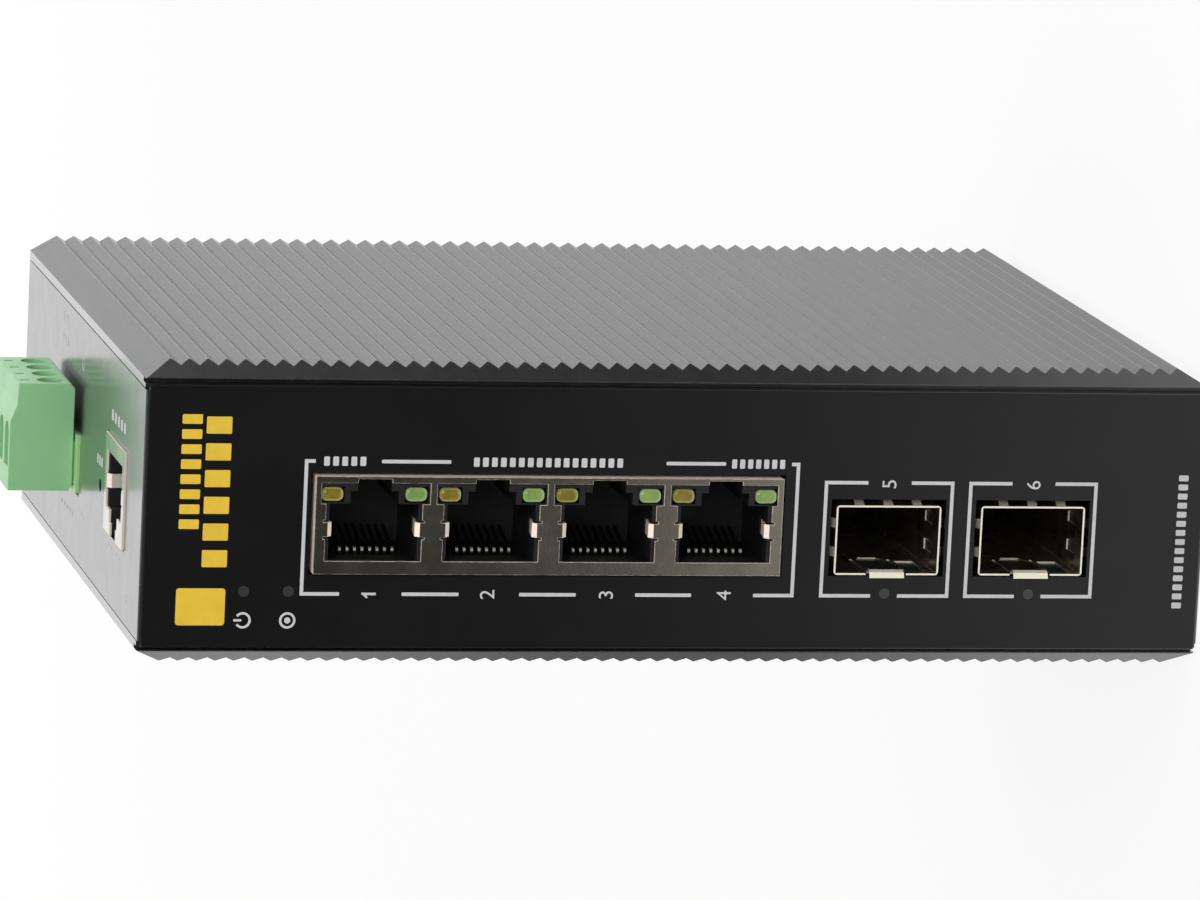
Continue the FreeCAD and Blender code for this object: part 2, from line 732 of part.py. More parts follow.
def port_block_shield():
    face = -PORT_PROUD
    half = BLOCK_HALF_W
    can = block(-half, half, 0, PORT_BLOCK_H, face, face + PORT_BLOCK_D)
    inside = block(
        -half + CAN_T, half - CAN_T, -1, PORT_BLOCK_H - CAN_T,
        face + CAN_T, face + PORT_BLOCK_D - CAN_T)
    cuts = [inside]
    fingers = []
    top = PORT_FLOOR + SOCKET_H
    finger_low = PORT_FLOOR + PORT_FINGER_UP
    for middle in port_middles():
        opening = shield_opening(middle, PORT_FLOOR, face)
        left = max(middle - PORT_PITCH / 2 + LED_RIB / 2, -half + LED_FRAME)
        right = min(middle + PORT_PITCH / 2 - LED_RIB / 2, half - LED_FRAME)
        lamps = block(left, right, top, PORT_BLOCK_H - LED_TOP, face - 1, face + CAN_T)
        slot = block(
            middle - LATCH_TIP_W / 2, middle + LATCH_TIP_W / 2,
            top, PORT_BLOCK_H - CAN_T, face - 1, face + CAN_T)
        cuts += [opening, lamps, slot]
        cuts += finger_notches(middle, finger_low, face)
        fingers += earth_fingers(middle, finger_low, face)
    return on_front(join([can.cut(cuts)] + fingers), PORT_BLOCK_MID)


def port_block_housing():
    face = -PORT_PROUD + CAN_T + CAN_FIT
    half = BLOCK_HALF_W - CAN_T - CAN_FIT
    back = -PORT_PROUD + PORT_BLOCK_D - CAN_T - CAN_FIT
    body = block(-half, half, 0, PORT_BLOCK_H - CAN_T - CAN_FIT, face, back)
    cuts = []
    lamp_v = PORT_FLOOR + SOCKET_H + LED_UP
    for middle in port_middles():
        cuts += socket_hollow(middle, PORT_FLOOR, 1, SOCKET_DEPTH)
        cuts += contact_slots(middle, PORT_FLOOR, 1, -PORT_PROUD)
        for side in (-1, 1):
            lamp_u = middle + side * LED_OFFSET
            cuts.append(block(
                lamp_u - LED_W / 2 - 0.1, lamp_u + LED_W / 2 + 0.1,
                lamp_v - LED_H / 2 - 0.1, lamp_v + LED_H / 2 + 0.1,
                face - 1, face + LED_L))
        cuts.append(finger_pockets(middle, PORT_FLOOR + PORT_FINGER_UP, face))
    return on_front(body.cut(cuts), PORT_BLOCK_MID)


def port_block_contacts():
    wires = []
    for middle in port_middles():
        wires += contact_row(middle, PORT_FLOOR, PORT_FLOOR + CONTACT_RISE, -PORT_PROUD)
    return on_front(group(wires), PORT_BLOCK_MID)


def port_lamps(side):
    """Lamps on one side of every port; side is 1 towards the upper end."""
    lamps = []
    lamp_v = PORT_FLOOR + SOCKET_H + LED_UP
    face = -PORT_PROUD + 0.15
    for middle in port_middles():
        u = middle + side * LED_OFFSET
        lamp = block(
            u - LED_W / 2, u + LED_W / 2, lamp_v - LED_H / 2, lamp_v + LED_H / 2,
            face, face + LED_L)
        lamp = lamp.makeFillet(LED_ROUND, edges_along(lamp, V(0, 0, 1)))
        front = [e for e in lamp.Edges if e.BoundBox.ZMax < face + 0.01]
        lamps.append(lamp.makeFillet(LED_DOME, front))
    return on_front(group(lamps), PORT_BLOCK_MID)


def console_shield():
    face = -JACK_PROUD
    half = JACK_W / 2
    can = block(-half, half, 0, JACK_H, face, face + JACK_D)
    inside = block(
        -half + CAN_T, half - CAN_T, -1, JACK_H - CAN_T,
        face + CAN_T, face + JACK_D - CAN_T)
    opening = shield_opening(0, JACK_FLOOR, face)
    base = socket_hollow(0, JACK_FLOOR, -1, JACK_D / 2)[1]
    slots = block(-LATCH_TIP_W / 2, LATCH_TIP_W / 2, -1, JACK_FLOOR, face - 1, face + CAN_T)
    finger_low = JACK_FLOOR + JACK_FINGER_UP
    fingers = earth_fingers(0, finger_low, face)
    notches = finger_notches(0, finger_low, face)
    body = can.cut([inside, opening, base, slots] + notches)
    return on_end(join([body] + fingers), JACK_MID)


def console_housing():
    face = -JACK_PROUD + CAN_T + CAN_FIT
    half = JACK_W / 2 - CAN_T - CAN_FIT
    back = -JACK_PROUD + JACK_D - CAN_T - CAN_FIT
    body = block(-half, half, 0, JACK_H - CAN_T - CAN_FIT, face, back)
    cuts = list(socket_hollow(0, JACK_FLOOR, -1, SOCKET_DEPTH))
    cuts += contact_slots(0, JACK_FLOOR + SOCKET_H, -1, -JACK_PROUD)
    cuts.append(finger_pockets(0, JACK_FLOOR + JACK_FINGER_UP, face))
    return on_end(body.cut(cuts), JACK_MID)


def console_contacts():
    root = JACK_FLOOR + SOCKET_H
    return on_end(group(contact_row(0, root, root - CONTACT_RISE, -JACK_PROUD)), JACK_MID)


# ------------------------------------------------------ transceiver cages

def cage_springs():
    """Bowed strips round the mouth that earth the cage to the front plate."""
    half = CAGE_W / 2
    low = -CAGE_PROUD + SPRING_BACK
    crest = low + SPRING_RISE
    high = low + SPRING_L
    bow = [(low, 0), (crest, SPRING_BULGE), (high, 0),
           (high, -CAGE_T), (crest, SPRING_BULGE - CAGE_T), (low, -CAGE_T)]
    strips = []
    for u in spread(3, SPRING_PITCH):
        points = [V(u - SPRING_W / 2, CAGE_H + out, w) for w, out in bow]
        strips.append(prism(points, V(SPRING_W, 0, 0)))
    for v in spread(2, SIDE_PITCH):
        for side in (-1, 1):
            points = [
                V(side * (half + out), SIDE_MID + v - SPRING_W / 2, w) for w, out in bow]
            strips.append(prism(points, V(0, SPRING_W, 0)))
    return strips


def cage_windows():
    """Windows through both sides of a cage."""
    half = CAGE_W / 2
    low = -CAGE_PROUD + WINDOW_BACK
    return [
        block(-half - SPRING_BULGE, half + SPRING_BULGE,
              SIDE_MID + v - WINDOW_H / 2, SIDE_MID + v + WINDOW_H / 2, low, low + WINDOW_L)
        for v in spread(2, SIDE_PITCH)]


def cage_tabs():
    """Tabs bent in at the far ends of the windows."""
    half = CAGE_W / 2
    far = -CAGE_PROUD + WINDOW_BACK + WINDOW_L
    tabs = []
    for v in spread(2, SIDE_PITCH):
        for side in (-1, 1):
            points = [
                V(side * u, SIDE_MID + v - WINDOW_H / 2, w)
                for u, w in ((half, far + CAGE_T), (half, far), (half - TAB_IN, far - TAB_L),
                             (half - TAB_IN - CAGE_T, far - TAB_L), (half - CAGE_T, far),
                             (half - CAGE_T, far + CAGE_T))]
            tabs.append(prism(points, V(0, WINDOW_H, 0)))
    return tabs


def latch_lip():
    """The latch tongue's end, rolled out over the mouth."""
    face = -CAGE_PROUD
    outer = [(CAGE_T, LIP_BACK), (LIP_TOP, LIP_BACK * 0.6), (LIP_TOP, 0.1),
             (LIP_TOP * 0.6, -LIP_OUT * 0.6), (0, -LIP_OUT), (-LIP_LOW, -LIP_OUT)]
    inner = [(-LIP_LOW, -LIP_OUT + CAGE_T), (-CAGE_T * 0.4, -LIP_OUT + CAGE_T),
             (LIP_TOP * 0.6 - CAGE_T * 0.7, -LIP_OUT * 0.6 + CAGE_T),
             (LIP_TOP - CAGE_T, 0.25), (LIP_TOP - CAGE_T, LIP_BACK * 0.5), (0, LIP_BACK)]
    points = [V(-LIP_W / 2, v, face + w) for v, w in outer + inner]
    return prism(points, V(LIP_W, 0, 0))


def sfp_cage(height):
    half = CAGE_W / 2
    face = -CAGE_PROUD
    tube = block(-half, half, 0, CAGE_H, face, face + CAGE_L)
    corners = [
        e for e in tube.Edges
        if abs(e.tangentAt(e.FirstParameter).z) > 0.9]
    tube = tube.makeFillet(0.5, corners)
    inside = block(
        -half + CAGE_T, half - CAGE_T, CAGE_T, CAGE_H - CAGE_T,
        face - 1, face + CAGE_L - CAGE_T)
    latch_hole = prism([
        V(-2.2, -1, 8.0), V(2.2, -1, 8.0), V(1.2, -1, 10.6), V(-1.2, -1, 10.6)], V(0, 2, 0))
    half = LIP_W / 2
    lip_gap = block(
        -half - FLOOR_SLIT, half + FLOOR_SLIT, -1, CAGE_T, face - 1, face + LIP_BACK - CAGE_T)
    slits = [
        block(u, u + FLOOR_SLIT, -1, CAGE_T, face - 1, face + FLOOR_SLIT_L)
        for u in (-half - FLOOR_SLIT, half)]
    hole_low = half + 2 * FLOOR_SLIT
    floor_hole = block(
        -hole_low - FLOOR_HOLE_W, -hole_low, -1, CAGE_T,
        face + FLOOR_HOLE_BACK, face + FLOOR_HOLE_BACK + FLOOR_HOLE_L)
    board_gap = block(
        -HOST_W / 2 - 0.4, HOST_W / 2 + 0.4, -1, CAGE_T + 0.1,
        face + CAGE_L - HOST_BACK - HOST_L - 1.0, face + CAGE_L - CAGE_T - 0.3)
    cuts = [inside, latch_hole, lip_gap, floor_hole, board_gap] + slits
    shell = tube.cut(cuts + cage_windows())
    return on_front(join([shell, latch_lip()] + cage_tabs() + cage_springs()), height)


def host_connector_place(height, shape):
    back = -CAGE_PROUD + CAGE_L - HOST_BACK
    shape.translate(V(0, 0, back - HOST_L))
    return on_front(shape, height)


def sfp_connectors():
    bodies = []
    for height in CAGE_MIDS:
        body = block(-HOST_W / 2, HOST_W / 2, 0, HOST_H, 0, HOST_L)
        slot = block(
            -HOST_W / 2 + HOST_SIDE, HOST_W / 2 - HOST_SIDE, HOST_SLOT_LOW, HOST_SLOT_TOP,
            -1, HOST_L - HOST_SLOT_END)
        bodies.append(host_connector_place(height, body.cut(slot)))
    return group(bodies)


def sfp_contacts():
    wires = []
    half = HOST_CONTACT_W / 2
    lower = HOST_SLOT_LOW + HOST_PLAY
    upper = HOST_SLOT_TOP - HOST_PLAY - HOST_CONTACT_T
    for height in CAGE_MIDS:
        for u in spread(HOST_CONTACTS, HOST_PITCH):
            for v in (lower, upper):
                wire = block(u - half, u + half, v, v + HOST_CONTACT_T,
                             HOST_CONTACT_IN, HOST_L - HOST_SLOT_END)
                wires.append(host_connector_place(height, wire))
    return group(wires)


# ------------------------------------------------- reset and status lamps

def reset_switch():
    front = SHEET + RESET_INSET
    half = RESET_BODY_W / 2
    body = block(-half, half, 0, RESET_BODY_H, front, front + RESET_BODY_L)
    bore = rod(V(0, RESET_UP, front - 1), V(0, 0, 1), RESET_PLUNGER_R + RESET_PLAY, 3.2)
    return on_end(body.cut(bore), RESET_MID)


def reset_button():
    front = SHEET + RESET_INSET
    stem = rod(V(0, RESET_UP, front - RESET_REACH), V(0, 0, 1), RESET_PLUNGER_R, RESET_REACH + 1.7)
    return on_end(stem.makeChamfer(0.3, [stem.Edges[0]]), RESET_MID)


def status_light_pipes():
    pipes = []
    for z in WINDOW_HEIGHTS:
        pipe = rod(V(WINDOW_X, FILM_T, z), V(0, 1, 0), PIPE_R, PIPE_L)
        nose = rod(V(WINDOW_X, 0.02, z), V(0, 1, 0), WINDOW_R - PIPE_PLAY, 1)
        pipes.append(join([pipe, nose]))
    return group(pipes)


def status_lamps():
    half = STATUS_LED / 2
    start = FILM_T + PIPE_L + 0.1
    return group([
        block(BOARD_LOW_X - STATUS_LED, BOARD_LOW_X, start, start + STATUS_LED, z - half, z + half)
        for z in WINDOW_HEIGHTS])


# ---------------------------------------------------------- terminal block

def terminal_header():
    body = block(-HEADER_HALF_W, HEADER_HALF_W, 0, HEADER_H, -HEADER_PROUD, HEADER_L)
    hollow = block(
        -HEADER_HALF_W + HEADER_SIDE, HEADER_HALF_W - HEADER_SIDE,
        HEADER_WALL, HEADER_H - HEADER_WALL, -HEADER_PROUD - 1, HEADER_L - HEADER_BACK)
    cuts = [hollow]
    half = PIN_T / 2 + 0.02
    for u in spread(WAYS, WAY_PITCH):
        cuts.append(block(u - half, u + half, PIN_UP - half, PIN_UP + half, 0, HEADER_L + 1))
    return on_end(body.cut(cuts), TERMINAL_MID)


def header_pins():
    pins = []
    half = PIN_T / 2
    for u in spread(WAYS, WAY_PITCH):
        blade = block(
            u - half, u + half, PIN_UP - half, PIN_UP + half,
            PIN_TIP, HEADER_L + PIN_T)
        tail = block(
            u - half, u + half, -BOARD_T - PIN_TAIL, PIN_UP + half,
            HEADER_L + 0.02, HEADER_L + PIN_T)
        pins.append(join([blade, tail]))
    return on_end(group(pins), TERMINAL_MID)


def terminal_plug():
    """Moulding of the plug: w is negative outside the case."""
    low = PLUG_FLOOR
    top = PLUG_FLOOR + PLUG_H
    outline = [
        (low, -PLUG_FOOT), (low, -PLUG_OUT), (low + PLUG_WALL_UP, -PLUG_OUT + PLUG_WALL_LEAN),
        (low + PLUG_SLOPE_UP, -PLUG_OUT + PLUG_SLOPE_IN), (top, -PLUG_OUT + PLUG_TOP_IN),
        (top, -PLUG_BROW), (top - PLUG_BROW_DOWN, -PLUG_SHOULDER),
        (low + PLUG_FOOT_UP, -PLUG_SHOULDER)]
    points = [V(-PLUG_HALF_W, v, w) for v, w in outline]
    body = prism(points, V(2 * PLUG_HALF_W, 0, 0))
    half = HEADER_HALF_W - HEADER_SIDE - PLUG_FIT
    tongue = block(
        -half, half, HEADER_WALL + PLUG_FIT, HEADER_H - HEADER_WALL - PLUG_FIT,
        -PLUG_SHOULDER, TONGUE_L)
    cuts = []
    for u in spread(WAYS, WAY_PITCH):
        cuts += terminal_way_hollows(u)
    return on_end(join([body, tongue]).cut(cuts), TERMINAL_MID)


def terminal_way_hollows(u):
    half = WIRE_W / 2
    mouth_low = WIRE_UP - WIRE_H / 2
    arch = V(u, mouth_low + WIRE_H - half, -PLUG_OUT - 1)
    mouth_end = -PLUG_OUT + MOUTH_L
    mouth = block(u - half, u + half, mouth_low, arch.y, arch.z, mouth_end)
    mouth = mouth.fuse(rod(arch, V(0, 0, 1), half, mouth_end - arch.z)).removeSplitter()
    half = CLAMP_W / 2 + CLAMP_PLAY
    low = CLAMP_LOW - CLAMP_PLAY
    high = CLAMP_LOW + CLAMP_H + CLAMP_TRAVEL + CLAMP_PLAY
    far = -CLAMP_MID - CLAMP_L / 2 - CLAMP_PLAY
    near = -CLAMP_MID + CLAMP_L / 2 + CLAMP_PLAY
    pocket = block(u - half, u + half, low, high, far, near)
    throat = block(
        u - half + 0.3, u + half - 0.3, low + 0.4, CLAMP_LOW + CLAMP_H - 0.4,
        mouth_end - 0.1, far + 0.1)
    shaft = rod(V(u, CLAMP_HEAD_UP - 0.1, -CLAMP_MID), V(0, 1, 0), SHAFT_R, 20)
    neck = rod(V(u, high - 1, -CLAMP_MID), V(0, 1, 0), CLAMP_SCREW_R + 0.15, 4)
    strip_half = STRIP_W / 2 + 0.2
    link = block(
        u - strip_half, u + strip_half, PIN_UP - PIN_T - 0.4, STRIP_UP + STRIP_T + 0.2,
        near - 0.1, 0.2)
    lane = block(
        u - strip_half, u + strip_half, PIN_UP - PIN_T - 0.4, PIN_UP + PIN_T + 0.4,
        0, TONGUE_L + 1)
    probe = block(u - 0.4, u + 0.4, PLUG_H - 2.5, PLUG_H + 2, -7.9, -6.7)
    return [mouth, pocket, throat, shaft, neck, link, lane, probe]


def plug_contacts():
    """Strip under each screw, with a fork that grips the header's pin."""
    parts = []
    half = STRIP_W / 2
    for u in spread(WAYS, WAY_PITCH):
        strip = block(
            u - half, u + half, STRIP_UP, STRIP_UP + STRIP_T,
            -CLAMP_MID - CLAMP_L / 2 + 0.2, 0)
        leaf_low = PIN_UP - PIN_T / 2 - 0.1 - STRIP_T
        leaf_high = PIN_UP + PIN_T / 2 + 0.1
        back = block(u - half, u + half, leaf_low, STRIP_UP + STRIP_T, -STRIP_T, 0)
        lower = block(u - half, u + half, leaf_low, leaf_low + STRIP_T, -STRIP_T, TONGUE_L - 1.2)
        upper = block(u - half, u + half, leaf_high, leaf_high + STRIP_T, -STRIP_T, TONGUE_L - 1.2)
        parts.append(join([strip, back, lower, upper]))
    return on_end(group(parts), TERMINAL_MID)


def terminal_screw(u):
    head = rod(V(u, CLAMP_HEAD_UP, -CLAMP_MID), V(0, 1, 0), CLAMP_HEAD_R, CLAMP_HEAD_T)
    tip = STRIP_UP + STRIP_T + 0.1
    shank = rod(V(u, tip, -CLAMP_MID), V(0, 1, 0), CLAMP_SCREW_R, CLAMP_HEAD_UP - tip + 0.1)
    top = CLAMP_HEAD_UP + CLAMP_HEAD_T
    slot = block(u - 0.25, u + 0.25, top - 0.8, top + 1, -CLAMP_MID - 3, -CLAMP_MID + 3)
    return on_end(join([head, shank]).cut(slot), TERMINAL_MID)


def terminal_clamp(u):
    half = CLAMP_W / 2
    far = -CLAMP_MID - CLAMP_L / 2
    near = -CLAMP_MID + CLAMP_L / 2
    cage = block(u - half, u + half, CLAMP_LOW, CLAMP_LOW + CLAMP_H, far, near)
    window = block(
        u - half + CLAMP_WALL, u + half - CLAMP_WALL,
        CLAMP_LOW + CLAMP_WALL * 1.5, CLAMP_LOW + CLAMP_H - CLAMP_WALL * 1.5, far - 1, near + 1)
    thread = rod(V(u, CLAMP_LOW + CLAMP_H - 2, -CLAMP_MID), V(0, 1, 0), CLAMP_SCREW_R + 0.05, 4)
    return on_end(cage.cut([window, thread]), TERMINAL_MID)


# ---------------------------------------------------------- DIN rail clip

def clip_screw_spots():
    return [
        (x, RAIL_Z + z)
        for x in (-CLIP_SCREW_X, CLIP_SCREW_X)
        for z in (CLIP_SCREW_UP, -CLIP_SCREW_DOWN)]


def hook_points(edge_z, out):
    """Hook over a rail edge; out is 1 for the upper edge, -1 for the lower."""
    wall = edge_z + out * 0.3
    back = wall + out * HOOK_WALL
    tip = edge_z - out * HOOK_LAP
    gap = RAIL_Y + RAIL_T + RAIL_PLAY
    top = gap + HOOK_T
    return wall, back, tip, gap, top


def din_clip_base():
    half = CLIP_W / 2
    low = RAIL_Z - CLIP_BELOW
    base = block(-half, half, CASE_D, RAIL_Y, low, RAIL_Z + CLIP_ABOVE)
    wall, back, tip, gap, top = hook_points(RAIL_Z + RAIL_W / 2, 1)
    hook = prism([
        V(-half, RAIL_Y - 1, wall), V(-half, gap, wall), V(-half, gap, tip),
        V(-half, top - 0.6, tip), V(-half, top, tip + 0.8), V(-half, top, back - 1.2),
        V(-half, top - 1.2, back), V(-half, RAIL_Y - 1, back)], V(CLIP_W, 0, 0))
    pocket_half = LATCH_W / 2 + LATCH_PLAY
    pocket_y = CASE_D + LATCH_T + 2 * LATCH_PLAY
    pocket = block(
        -pocket_half, pocket_half, CASE_D - 1, pocket_y,
        low - 1, RAIL_Z - LATCH_TOP + LATCH_PLAY)
    nose_wall, nose_back, _, _, _ = hook_points(RAIL_Z - RAIL_W / 2, -1)
    window_half = LATCH_NOSE_W / 2 + 0.3
    window = block(
        -window_half, window_half, CASE_D, RAIL_Y + 1,
        nose_back - LATCH_TRAVEL - 0.3, nose_wall + 0.3)
    peg_z = spring_slot_low() + 0.3
    peg = block(-1.2, 1.2, CASE_D + LATCH_PLAY, pocket_y + 0.5, peg_z, peg_z + PEG_H)
    body = base.fuse(hook).cut([pocket, window])
    holes = [
        flat_head_hole(V(x, RAIL_Y, z), V(0, -1, 0), CLIP_T + 2) for x, z in clip_screw_spots()]
    return join([body, peg]).cut(holes)


def spring_slot_low():
    return RAIL_Z - LATCH_TOP - 2.0 - SPRING_SLOT


def din_latch():
    y0 = CASE_D + LATCH_PLAY
    y1 = y0 + LATCH_T
    half = LATCH_W / 2
    low = RAIL_Z - CLIP_BELOW - LATCH_TAB
    bar = block(-half, half, y0, y1, low, RAIL_Z - LATCH_TOP)
    edges = [e for e in bar.Edges
             if abs(e.tangentAt(e.FirstParameter).y) > 0.9 and e.CenterOfMass.z < low + 0.1]
    bar = bar.makeFillet(2.5, edges)
    slot_low = spring_slot_low()
    slot = block(-1.6, 1.6, y0 - 1, y1 + 1, slot_low, slot_low + SPRING_SLOT)
    pry = block(-3.0, 3.0, y0 - 1, y1 + 1, low + 2.0, low + 4.2)
    wall, back, tip, gap, top = hook_points(RAIL_Z - RAIL_W / 2, -1)
    x = -LATCH_NOSE_W / 2
    nose = prism([
        V(x, y1 - 0.5, wall), V(x, gap, wall), V(x, gap, tip),
        V(x, top - 1.1, tip), V(x, top, back + 0.9), V(x, top - 0.6, back),
        V(x, y1 - 0.5, back)], V(LATCH_NOSE_W, 0, 0))
    return join([bar.cut([slot, pry]), nose])


def din_latch_spring():
    low = spring_slot_low() + 0.3 + PEG_H + 0.1
    high = spring_slot_low() + SPRING_SLOT - 0.1
    length = high - low - SPRING_WIRE
    helix = Part.makeHelix(length / SPRING_TURNS, length, SPRING_R)
    section = Part.makeCircle(SPRING_WIRE / 2, V(SPRING_R, 0, 0), V(0, 1, 0))
    coil = Part.Wire(helix.Edges).makePipeShell([Part.Wire([section])], True, True)
    coil.translate(V(0, CASE_D + LATCH_PLAY + LATCH_T / 2, low + SPRING_WIRE / 2))
    return coil


def din_clip_screws():
    return group([
        flat_head_screw(V(x, RAIL_Y, z), V(0, -1, 0), CLIP_SCREW_L) for x, z in clip_screw_spots()])


def clip_nuts():
    """Round nuts pressed into the rear plate's inner face."""
    length = CLIP_SCREW_L - CLIP_T - SHEET + 0.5
    nuts = []
    for x, z in clip_screw_spots():
        nut = rod(V(x, REAR_Y, z), V(0, -1, 0), NUT_R, length)
        nuts.append(nut.cut(rod(V(x, REAR_Y + 1, z), V(0, -1, 0), SCREW_HOLE_R, length + 2)))
    return group(nuts)


# ---------------------------------------------------------------- nodes

NODES = {
    "side_cover_right": side_cover_right,
    "side_cover_left": side_cover_left,
    "chassis": chassis,
    "front_film": front_film,
    "rear_plate": rear_plate,
    "front_cover_screws": lambda: cover_screws(FILM_T, V(0, 1, 0)),
    "rear_cover_screws": lambda: cover_screws(CASE_D, V(0, -1, 0)),
    "main_board": main_board,
    "board_standoffs": board_standoffs,
    "board_screws": board_screws,
    "switch_chip": switch_chip,
    "thermal_pad": thermal_pad,
    "support_chips": support_chips,
    "capacitors": capacitors,
    "power_inductors": power_inductors,
    "power_transformer": power_transformer,
    "port_block_shield": port_block_shield,
    "port_block_housing": port_block_housing,
    "port_block_contacts": port_block_contacts,
    "port_lamps_yellow": lambda: port_lamps(1),
    "port_lamps_green": lambda: port_lamps(-1),
    "console_shield": console_shield,
    "console_housing": console_housing,
    "console_contacts": console_contacts,
    "sfp_cage_lower": lambda: sfp_cage(CAGE_MIDS[0]),
    "sfp_cage_upper": lambda: sfp_cage(CAGE_MIDS[1]),
    "sfp_connectors": sfp_connectors,
    "sfp_contacts": sfp_contacts,
    "reset_switch": reset_switch,
    "reset_button": reset_button,
    "status_light_pipes": status_light_pipes,
    "status_lamps": status_lamps,
    "terminal_header": terminal_header,
    "header_pins": header_pins,
    "terminal_plug": terminal_plug,
    "plug_contacts": plug_contacts,
    "din_clip_base": din_clip_base,
    "din_latch": din_latch,
    "din_latch_spring": din_latch_spring,
    "din_clip_screws": din_clip_screws,
    "clip_nuts": clip_nuts,
}

for way, offset in enumerate(spread(WAYS, WAY_PITCH), start=1):
    NODES["terminal_screw_%d" % way] = lambda u=offset: terminal_screw(u)
    NODES["terminal_clamp_%d" % way] = lambda u=offset: terminal_clamp(u)


os.makedirs("parts", exist_ok=True)
for name, make in NODES.items():
    shape = make().copy()
    shape.translate(V(0, -RAIL_Y, -RAIL_Z))
    shape.exportStep("parts/%s.step" % name)
    print(name, len(shape.Solids), "solids", round(shape.Volume, 1), "mm3", shape.isValid())
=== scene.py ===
import math

import bpy
from mathutils import Matrix, Vector


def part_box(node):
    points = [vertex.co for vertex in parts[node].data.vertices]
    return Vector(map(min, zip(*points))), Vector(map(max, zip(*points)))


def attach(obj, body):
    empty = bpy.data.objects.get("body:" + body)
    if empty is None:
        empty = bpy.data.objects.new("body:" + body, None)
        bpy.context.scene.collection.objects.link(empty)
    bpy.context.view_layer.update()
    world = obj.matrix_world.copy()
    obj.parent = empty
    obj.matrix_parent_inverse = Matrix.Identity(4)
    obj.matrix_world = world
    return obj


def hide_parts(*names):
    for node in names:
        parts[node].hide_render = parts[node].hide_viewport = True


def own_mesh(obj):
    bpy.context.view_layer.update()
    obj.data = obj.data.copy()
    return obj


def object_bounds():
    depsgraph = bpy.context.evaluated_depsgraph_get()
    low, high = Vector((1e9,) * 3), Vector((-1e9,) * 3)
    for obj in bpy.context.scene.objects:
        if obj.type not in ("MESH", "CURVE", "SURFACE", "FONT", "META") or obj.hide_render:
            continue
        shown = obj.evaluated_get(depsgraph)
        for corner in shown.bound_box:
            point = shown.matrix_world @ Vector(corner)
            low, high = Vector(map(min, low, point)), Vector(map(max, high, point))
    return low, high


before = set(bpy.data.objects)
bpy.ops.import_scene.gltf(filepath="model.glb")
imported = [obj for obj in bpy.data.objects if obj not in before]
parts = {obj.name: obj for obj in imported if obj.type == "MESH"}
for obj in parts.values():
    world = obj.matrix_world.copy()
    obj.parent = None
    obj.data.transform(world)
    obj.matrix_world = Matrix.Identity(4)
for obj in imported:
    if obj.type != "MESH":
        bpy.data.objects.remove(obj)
cad_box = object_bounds()

MM = 0.001
CASE_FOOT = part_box("chassis")[0].z
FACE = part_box("front_film")[0].y
CASE_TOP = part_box("chassis")[1].z
CASE_LENGTH = (CASE_TOP - CASE_FOOT) / MM


def spot(x, y, z):
    """A point from the switch's own sizes: across, back from the face, up from the foot, in mm."""
    return Vector((x * MM, FACE + y * MM, CASE_FOOT + z * MM))


# ------------------------------------------------------------ effects

GRAIN_RISE = 0.1 * MM


def feed(node, feeds):
    """Sets or links a node's inputs; feeds are (name or number, value or socket) pairs."""
    for label, value in feeds:
        socket = node.inputs[label]
        if isinstance(value, bpy.types.NodeSocket):
            node.id_data.links.new(value, socket)
        else:
            socket.default_value = value
    return node


def put(tree, kind, feeds=(), **settings):
    """One node of a kind, with its settings."""
    node = tree.nodes.new("ShaderNode" + kind)
    for key, value in settings.items():
        setattr(node, key, value)
    return feed(node, feeds)


def use(tree, group, feeds=()):
    """One of the effects below, in a material."""
    node = tree.nodes.new("ShaderNodeGroup")
    node.node_tree = group
    return feed(node, feeds)


def combine(tree, operation, first, second):
    """Two values made into one."""
    return put(tree, "Math", [(0, first), (1, second)], operation=operation).outputs[0]


def ramp(tree, value, start, end, low=0.0, high=1.0, kind="LINEAR"):
    """Runs from low to high as the value runs from start to end."""
    node = put(tree, "MapRange", [
        ("Value", value), ("From Min", start), ("From Max", end),
        ("To Min", low), ("To Max", high)], interpolation_type=kind)
    return node.outputs["Result"]


def between(tree, share, first, second):
    """A value between two others, as share says."""
    return put(tree, "Mix", [(0, share), (2, first), (3, second)]).outputs[0]


def lay_over(tree, share, under, over):
    """One colour over another, as share says."""
    mix = put(tree, "Mix", [(0, share), (6, under), (7, over)], data_type="RGBA")
    return mix.outputs[2]


def cloud(tree, vector, scale, detail, roughness=0.5):
    """A soft cloudy value."""
    node = put(tree, "TexNoise", [
        ("Vector", vector), ("Scale", scale), ("Detail", detail), ("Roughness", roughness)])
    return node.outputs["Fac"]


def effect(name, takes, gives):
    """A node group with named inputs (name, kind, value) and one output (name, kind)."""
    tree = bpy.data.node_groups.new(name, "ShaderNodeTree")
    for label, kind, value in takes:
        socket = tree.interface.new_socket(label, in_out="INPUT", socket_type="NodeSocket" + kind)
        if value is not None:
            socket.default_value = value
    label, kind = gives
    tree.interface.new_socket(label, in_out="OUTPUT", socket_type="NodeSocket" + kind)
    return tree, tree.nodes.new("NodeGroupInput").outputs, tree.nodes.new("NodeGroupOutput").inputs


def make_mottle():
    """Cloudy value between Low and High, for uneven gloss."""
    tree, takes, gives = effect("mottle", [
        ("Vector", "Vector", None), ("Scale", "Float", 100.0),
        ("Low", "Float", 0.3), ("High", "Float", 0.4)], ("Value", "Float"))
    patches = cloud(tree, takes["Vector"], takes["Scale"], 4.0, 0.6)
    level = ramp(tree, patches, 0.3, 0.7, takes["Low"], takes["High"])
    tree.links.new(level, gives["Value"])
    return tree


